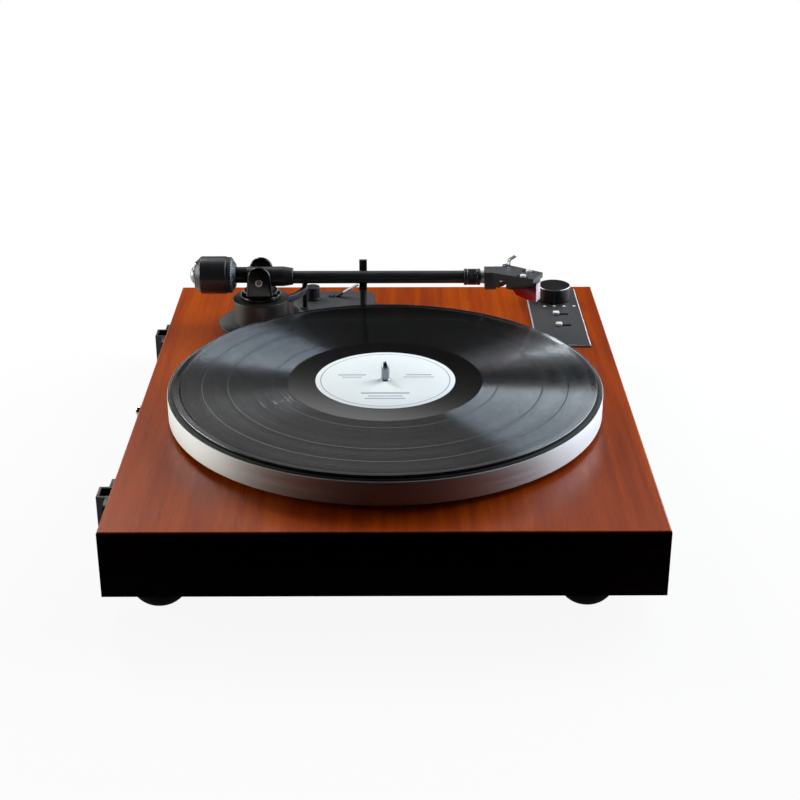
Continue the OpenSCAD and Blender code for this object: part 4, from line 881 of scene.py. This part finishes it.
def makeBlock(look):
    # a cone and a drum turned about the arm's axis, and a cross stub turned about the pivot
    front, back, rim = alongArm("arm_bearing_block")
    profile = soften([(0, front), (look["face"], front), (rim, front + look["nose"]), (rim, back), (0, back)],
                     look["edge"])
    end = look["stubEnd"]
    stub = soften([(0, -end), (look["stub"], -end), (look["stub"], end), (0, end)], look["stubEdge"])
    makePiece("bearingBlock", [(turnedOnArm(profile, rise=look["rise"]), blackTurned),
                               (revolve(stub, armAxis, "x", 64), blackTurned)],
              "arm", ["arm_bearing_block"])


# each end of the collar is (inset, distance) from its rim and face
collarSet = {"bore": 5.55, "end": [(0.3, 0.0), (0.0, 0.4), (0.0, 2.6), (0.5, 3.0), (0.2, 3.5)], "edge": 0.25,
             "knurlFrom": 3.3, "knurlOver": 0.5, "knurl": 0.12, "knurls": 44}


def makeCollar(look):
    # fine straight knurls between two plain rims: radius plus a cosine of the angle
    front, back, rim = alongArm("locking_collar")
    bore = look["bore"]
    shape = [(bore, front)] + [(rim - inset, front + into) for inset, into in look["end"]]
    shape += [(rim - inset, back - into) for inset, into in look["end"][::-1]] + [(bore, back)]
    sheet = revolve(closed(shape, look["edge"], 3), np.zeros(3), "y", look["knurls"] * 6)
    x, y, z = np.moveaxis(sheet, -1, 0)
    start = look["knurlFrom"]
    held = (y > front + start) & (y < back - start) & (np.hypot(x, z) > bore + look["knurlOver"])
    swell = 1 + held * look["knurl"] / rim * np.cos(look["knurls"] * np.arctan2(z, x))
    makePiece("lockingCollar", [(sheet * np.stack([swell, np.ones_like(swell), swell], -1) + armAxis, tubeBlack)],
              "collar", ["locking_collar"])


weightSet = {"step": 0.6, "lip": 2.2, "lipSlope": 0.6, "cone": 4.2, "end": 4.0, "edge": 0.5,
             "plug": 2.0, "plugGap": 0.05, "capRim": 0.9, "capSlope": 0.3, "capEdge": 0.2, "dome": 7.0}


def makeWeight(look, arm):
    # lip, drum and cone turned about the stub; the cap is a rim and a quarter of an ellipse
    front, back, rim = alongArm("counterweight")
    bore, lip, band = arm["bore"], front + look["lip"], rim - look["step"]
    profile = closed([(bore, front), (band, front), (band, lip), (rim, lip + look["lipSlope"]),
                      (rim, back - look["cone"]), (rim - look["end"], back), (bore, back)], look["edge"])
    makePiece("counterWeight", [(turnedOnArm(profile, 128, arm["rearRise"]), blackTurned)], "weight",
              ["counterweight"])
    front, back, rim = alongArm("counterweight_cap")
    plug, seat = bore - look["plugGap"], front + look["plug"]
    face = seat + look["capRim"]
    lean = np.linspace(0, np.pi / 2, 12)[1:]
    dome = np.stack([look["dome"] * np.cos(lean), face + (back - face) * np.sin(lean)], 1)
    rimmed = soften([(0, front), (plug, front), (plug, seat), (rim, seat), (rim - look["capSlope"], face),
                     (look["dome"], face)], look["capEdge"], 3)
    makePiece("weightCap", [(turnedOnArm(np.concatenate([rimmed, dome]), rise=arm["rearRise"]), capSilver)], "weight",
              ["counterweight_cap"])


# Force dial: a cone with white divisions, every fifth one long
dialSet = {"face": 9.2, "rim": 0.8, "band": (0.3, 1.2), "edge": 0.25, "ticks": 40, "tickWidth": 0.35, "tickLong": 3.0,
           "tickShort": 1.8, "tickGap": 0.1, "longEvery": 5, "lift": 0.04, "sunk": 0.02}


def makeDial(look, arm):
    # a cone turned about the stub; each tick is a flat bar laid up the cone at its own angle
    front, back, rim = alongArm("force_dial")
    cone = np.array([rim - look["band"][0], back - look["band"][1]])
    profile = closed([(arm["bore"], front), (look["face"], front), cone, (rim, back - look["rim"]), (rim, back),
                      (arm["bore"], back)], look["edge"], 3)
    grids = [(turnedOnArm(profile, 128, arm["rearRise"]), dialMetal)]
    slope = cone - (look["face"], front)
    slope /= np.linalg.norm(slope)
    radius, behind = cone - look["tickGap"]
    for k, turn in enumerate(np.radians(np.arange(look["ticks"]) * 360 / look["ticks"])):
        spoke = np.array([np.cos(turn), 0, np.sin(turn)])
        reach = look["tickShort"] if k % look["longEvery"] else look["tickLong"]
        outward = slope[0] * spoke + slope[1] * np.array([0, 1, 0])
        spot = armAxis + spoke * radius + (0, behind, arm["rearRise"]) - outward * reach / 2
        tick = plate(bar(look["tickWidth"], reach), -look["sunk"], look["lift"])
        grids.append((lay(tick, spot, np.cross((0, 1, 0), spoke), outward), markWhite))
    makePiece("forceDial", grids, "dial", ["force_dial"])


makeTube(tubeSet)
makeBlock(blockSet)
makeCollar(collarSet)
makeWeight(weightSet, armSet)
makeDial(dialSet, armSet)
print("arm: yoke, tube, block, collar, weight and dial")

# Feet: a ball cut flat under the plinth and again at the floor; insets from the side, front and rear
footSet = {"radius": 20.0, "deep": 16.0, "inset": (27.0, 47.7, 33.0)}


def makeFeet(look):
    # radius and height follow a circle from the flat up to its widest, turned about each foot's axis
    low, high = nodeBox("deck_board")
    side, front, rear = look["inset"]
    turn = np.linspace(np.arccos(look["deep"] / look["radius"]), np.pi / 2, 24)
    ball = np.column_stack([look["radius"] * np.sin(turn), look["deep"] - look["radius"] * np.cos(turn)])
    profile = np.vstack([(0, 0), ball, (0, look["deep"])])
    grids = [(revolve(profile, (x, y, 0.0), steps=96), footRubber)
             for x in (low[0] + side, high[0] - side) for y in (low[1] + front, high[1] - rear)]
    makePiece("domedFeet", grids, "plinth", ["feet"])


makeFeet(footSet)

# Headshell: its node keeps its shape; a silver neck band and four leads are added
shellSet = {"turn": 25.5, "bend": 191.0, "neckBack": 178.9, "neckFront": 181.4, "neckIn": 4.8, "neckOut": 5.3,
            "neckEdge": 0.3, "leadBack": 1.0, "leadFront": 11.4, "leadPitch": 2.6}
leads = {
    "white": {"tone": tone(228, 226, 222), "out": -4.4, "sag": 0.3, "radius": 0.65},
    "red": {"tone": tone(150, 40, 70), "out": -2.6, "sag": 1.4, "radius": 0.8},
    "blue": {"tone": tone(88, 84, 90), "out": -8.6, "sag": 2.8, "radius": 1.15},
    "green": {"tone": tone(86, 86, 76), "out": -11.0, "sag": 4.6, "radius": 1.15},
}
neckSilver = turnedMetal("neckSilver", tone(230, 231, 233), 0.4, 60.0, 0.05, metal=0.3, spread=0.3)


def onShell(across, ahead, height, look=shellSet):
    # headshell's own place, across towards its finger lift and ahead from the bend, in the frame
    turn = np.radians(look["turn"])
    x = armAxis[0] + across * np.cos(turn) - ahead * np.sin(turn)
    y = armAxis[1] - look["bend"] - across * np.sin(turn) - ahead * np.cos(turn)
    return np.stack(np.broadcast_arrays(x, y, height), -1)


def makeNeck(look):
    # a plain ring's section turned about the arm's axis
    ring = closed(sleeve(look["neckIn"], look["neckOut"], -look["neckFront"], -look["neckBack"]), look["neckEdge"])
    makePiece("neckBand", [(turnedOnArm(ring), neckSilver)], "arm")


def makeLeads(look):
    # each lead bows outwards and down by a half sine that peaks late, between the block and the cartridge
    height = middle("headshell_leads")[2]
    s = np.linspace(0, 1, 33)
    bow = np.sin(np.pi * s ** 1.7).clip(0) ** 0.6
    grids = []
    for k, (name, lead) in enumerate(leads.items()):
        v = (k - (len(leads) - 1) / 2) * look["leadPitch"]
        back = -v * np.tan(np.radians(look["turn"])) - look["leadBack"]
        path = onShell(v + lead["out"] * bow, back + (look["leadFront"] - back) * s, height - lead["sag"] * bow)
        wire = moulded(name + "Lead", lead["tone"], 0.4, vary=0.05)
        grids.append((sweep(circle(lead["radius"], 12), path), wire))
    makePiece("headshellLeads", grids, "arm", ["headshell_leads"])


makeNeck(shellSet)
makeLeads(shellSet)
print("feet and headshell: domed feet, neck band and leads")

# Lift: an arc with a rubber strip along its top, on a rod
liftSet = {"radius": 36.4, "width": 3.6, "wall": 5.4, "swing": (-140, -72), "steps": 72, "edge": 0.5, "strip": 1.0,
           "rod": 2.0, "rodTurn": -76.0, "rodIn": 1.0}


def makeLift(look):
    # a rounded wall turned part of the way about the pillar and closed at both ends, and a round rod
    low, high = nodeBox("lift_bar")
    top, foot = high[2], high[2] - look["wall"]
    radius, half, strip = look["radius"], look["width"] / 2, look["strip"]
    inner, outer = radius - half, radius + half
    body = soften([(radius - strip, top), (inner, top), (inner, foot), (outer, foot), (outer, top),
                   (radius + strip, top)], look["edge"])
    pad = [(radius + strip, top), (radius, top), (radius - strip, top)]
    wall, pad, loop = (revolve(outline, pillarAxis, "z", look["steps"], look["swing"])
                       for outline in (body, pad, np.concatenate([body, body[:1]])))
    ends = [np.stack([np.repeat(loop[:, k].mean(0, keepdims=True), len(loop), 0), loop[:, k]]) for k in (0, -1)]
    turn = np.radians(look["rodTurn"])
    spot = pillarAxis + radius * np.array([np.cos(turn), np.sin(turn), 0])
    rodTop = foot + look["rodIn"]
    rod = revolve([(0, low[2]), (look["rod"], low[2]), (look["rod"], rodTop), (0, rodTop)], spot, "z", 32)
    makePiece("liftArc", [(wall, liftMetal), (pad, matRubber), (ends[0], liftMetal), (ends[1], liftMetal),
                          (rod, blackAnodised)], "lift", ["lift_bar"])


makeLift(liftSet)

# Anti-skate knob: fluted black body on a silver foot
skateSet = {"sunk": 1.1, "foot": 1.2, "footEdge": 0.25, "body": 6.0, "stud": 2.0, "flutes": 24, "flute": 0.02,
            "fluteOver": 0.1, "edge": 0.7}


def makeSkate(look):
    # the flutes take a cosine of the angle off the body's outer radius
    rim, bottom, top = turnedSize("anti_skate_knob")
    axis = middle("anti_skate_knob") * onFloor
    base = nodeBox("arm_platform")[1][2] - look["sunk"]
    step = (look["body"], base + look["foot"])
    foot = soften([(0, bottom), (look["stud"], bottom), (look["stud"], base), (rim, base), (rim, step[1]), step],
                  look["footEdge"], 3)
    body = soften([step, (look["body"], top), (0, top)], look["edge"], 5)
    sheet = revolve(body, np.zeros(3), "z", look["flutes"] * 8)
    x, y = sheet[..., 0], sheet[..., 1]
    held = np.hypot(x, y) > look["body"] - look["fluteOver"]
    grip = 1 + look["flute"] * (np.cos(look["flutes"] * np.arctan2(y, x)) - 1) * held
    sheet = sheet * np.stack([grip, grip, np.ones_like(grip)], -1) + axis
    makePiece("skateKnob", [(revolve(foot, axis, "z", 64), dialMetal), (sheet, blackPlastic)], "anti_skate",
              ["anti_skate_knob"])


makeSkate(skateSet)
print("arm base: pillar, lift and anti-skate knob")

# Control knob: plain drum with a narrow bright ring round its top
knobSet = {"shaft": 3.0, "foot": 2.4, "edge": 0.9, "ring": 0.5}
knobBlack = turnedMetal("knobBlack", tone(11, 12, 14), 0.32, 120.0, 0.1, metal=0.0, spread=0.3)
ringMetal = turnedMetal("ringMetal", tone(170, 173, 178), 0.4, 40.0, 0.05, metal=0.7)


def makeKnob(look):
    # drum, ring and flat top: three profiles turned about one axis
    rim, bottom, top = turnedSize("control_knob")
    axis = middle("control_knob") * onFloor
    base = deckTop + look["foot"]
    shoulder, flat = (rim, top - look["ring"]), (rim - look["ring"], top)
    drum = soften([(0, bottom), (look["shaft"], bottom), (look["shaft"], base), (rim, base), shoulder], look["edge"], 5)
    parts = [(drum, knobBlack), ([shoulder, flat], ringMetal), ([flat, (0, top)], knobBlack)]
    makePiece("selectorKnob", [(revolve(profile, axis, "z", 128), finish) for profile, finish in parts], "knob",
              ["control_knob"])


makeKnob(knobSet)

# Signs on the panel and marks on the two caps
panelSet = {"lift": 0.05, "sunk": 0.02, "signX": 164.6, "signY": (-132.8, -140.9, -149.1, -157.5), "signSize": 2.9,
            "mark": (0.7, 4.0)}


def makeSigns(look):
    # flat outlines raised by the lift and laid on the panel and the caps
    centre = middle("deck_board") * onFloor
    top = nodeBox("control_panel")[1][2]
    triangle = np.array([(-0.6, -0.5), (0.6, -0.5), (0, 0.6)])
    diamond = np.array([(-0.6, 0), (0, -0.6), (0.6, 0), (0, 0.6)])
    dot = circle(0.42, 20)[:-1]
    grids = []
    for shape, y in zip((triangle, dot, triangle, diamond), look["signY"]):
        sign = plate(shape * look["signSize"], -look["sunk"], look["lift"])
        grids.append((lay(sign, centre + (look["signX"], y, top)), markWhite))
    makePiece("panelSigns", grids, "plinth")
    for node, body in (("speed_slider", "speed"), ("size_slider", "size")):
        cap = middle(node) * onFloor + (0, 0, nodeBox(node)[1][2])
        line = plate(bar(*look["mark"]), -look["sunk"], look["lift"])
        makePiece(body + "Mark", [(lay(line, cap), markWhite)], body)


makeSigns(panelSet)
print("controls: knob, signs and marks")
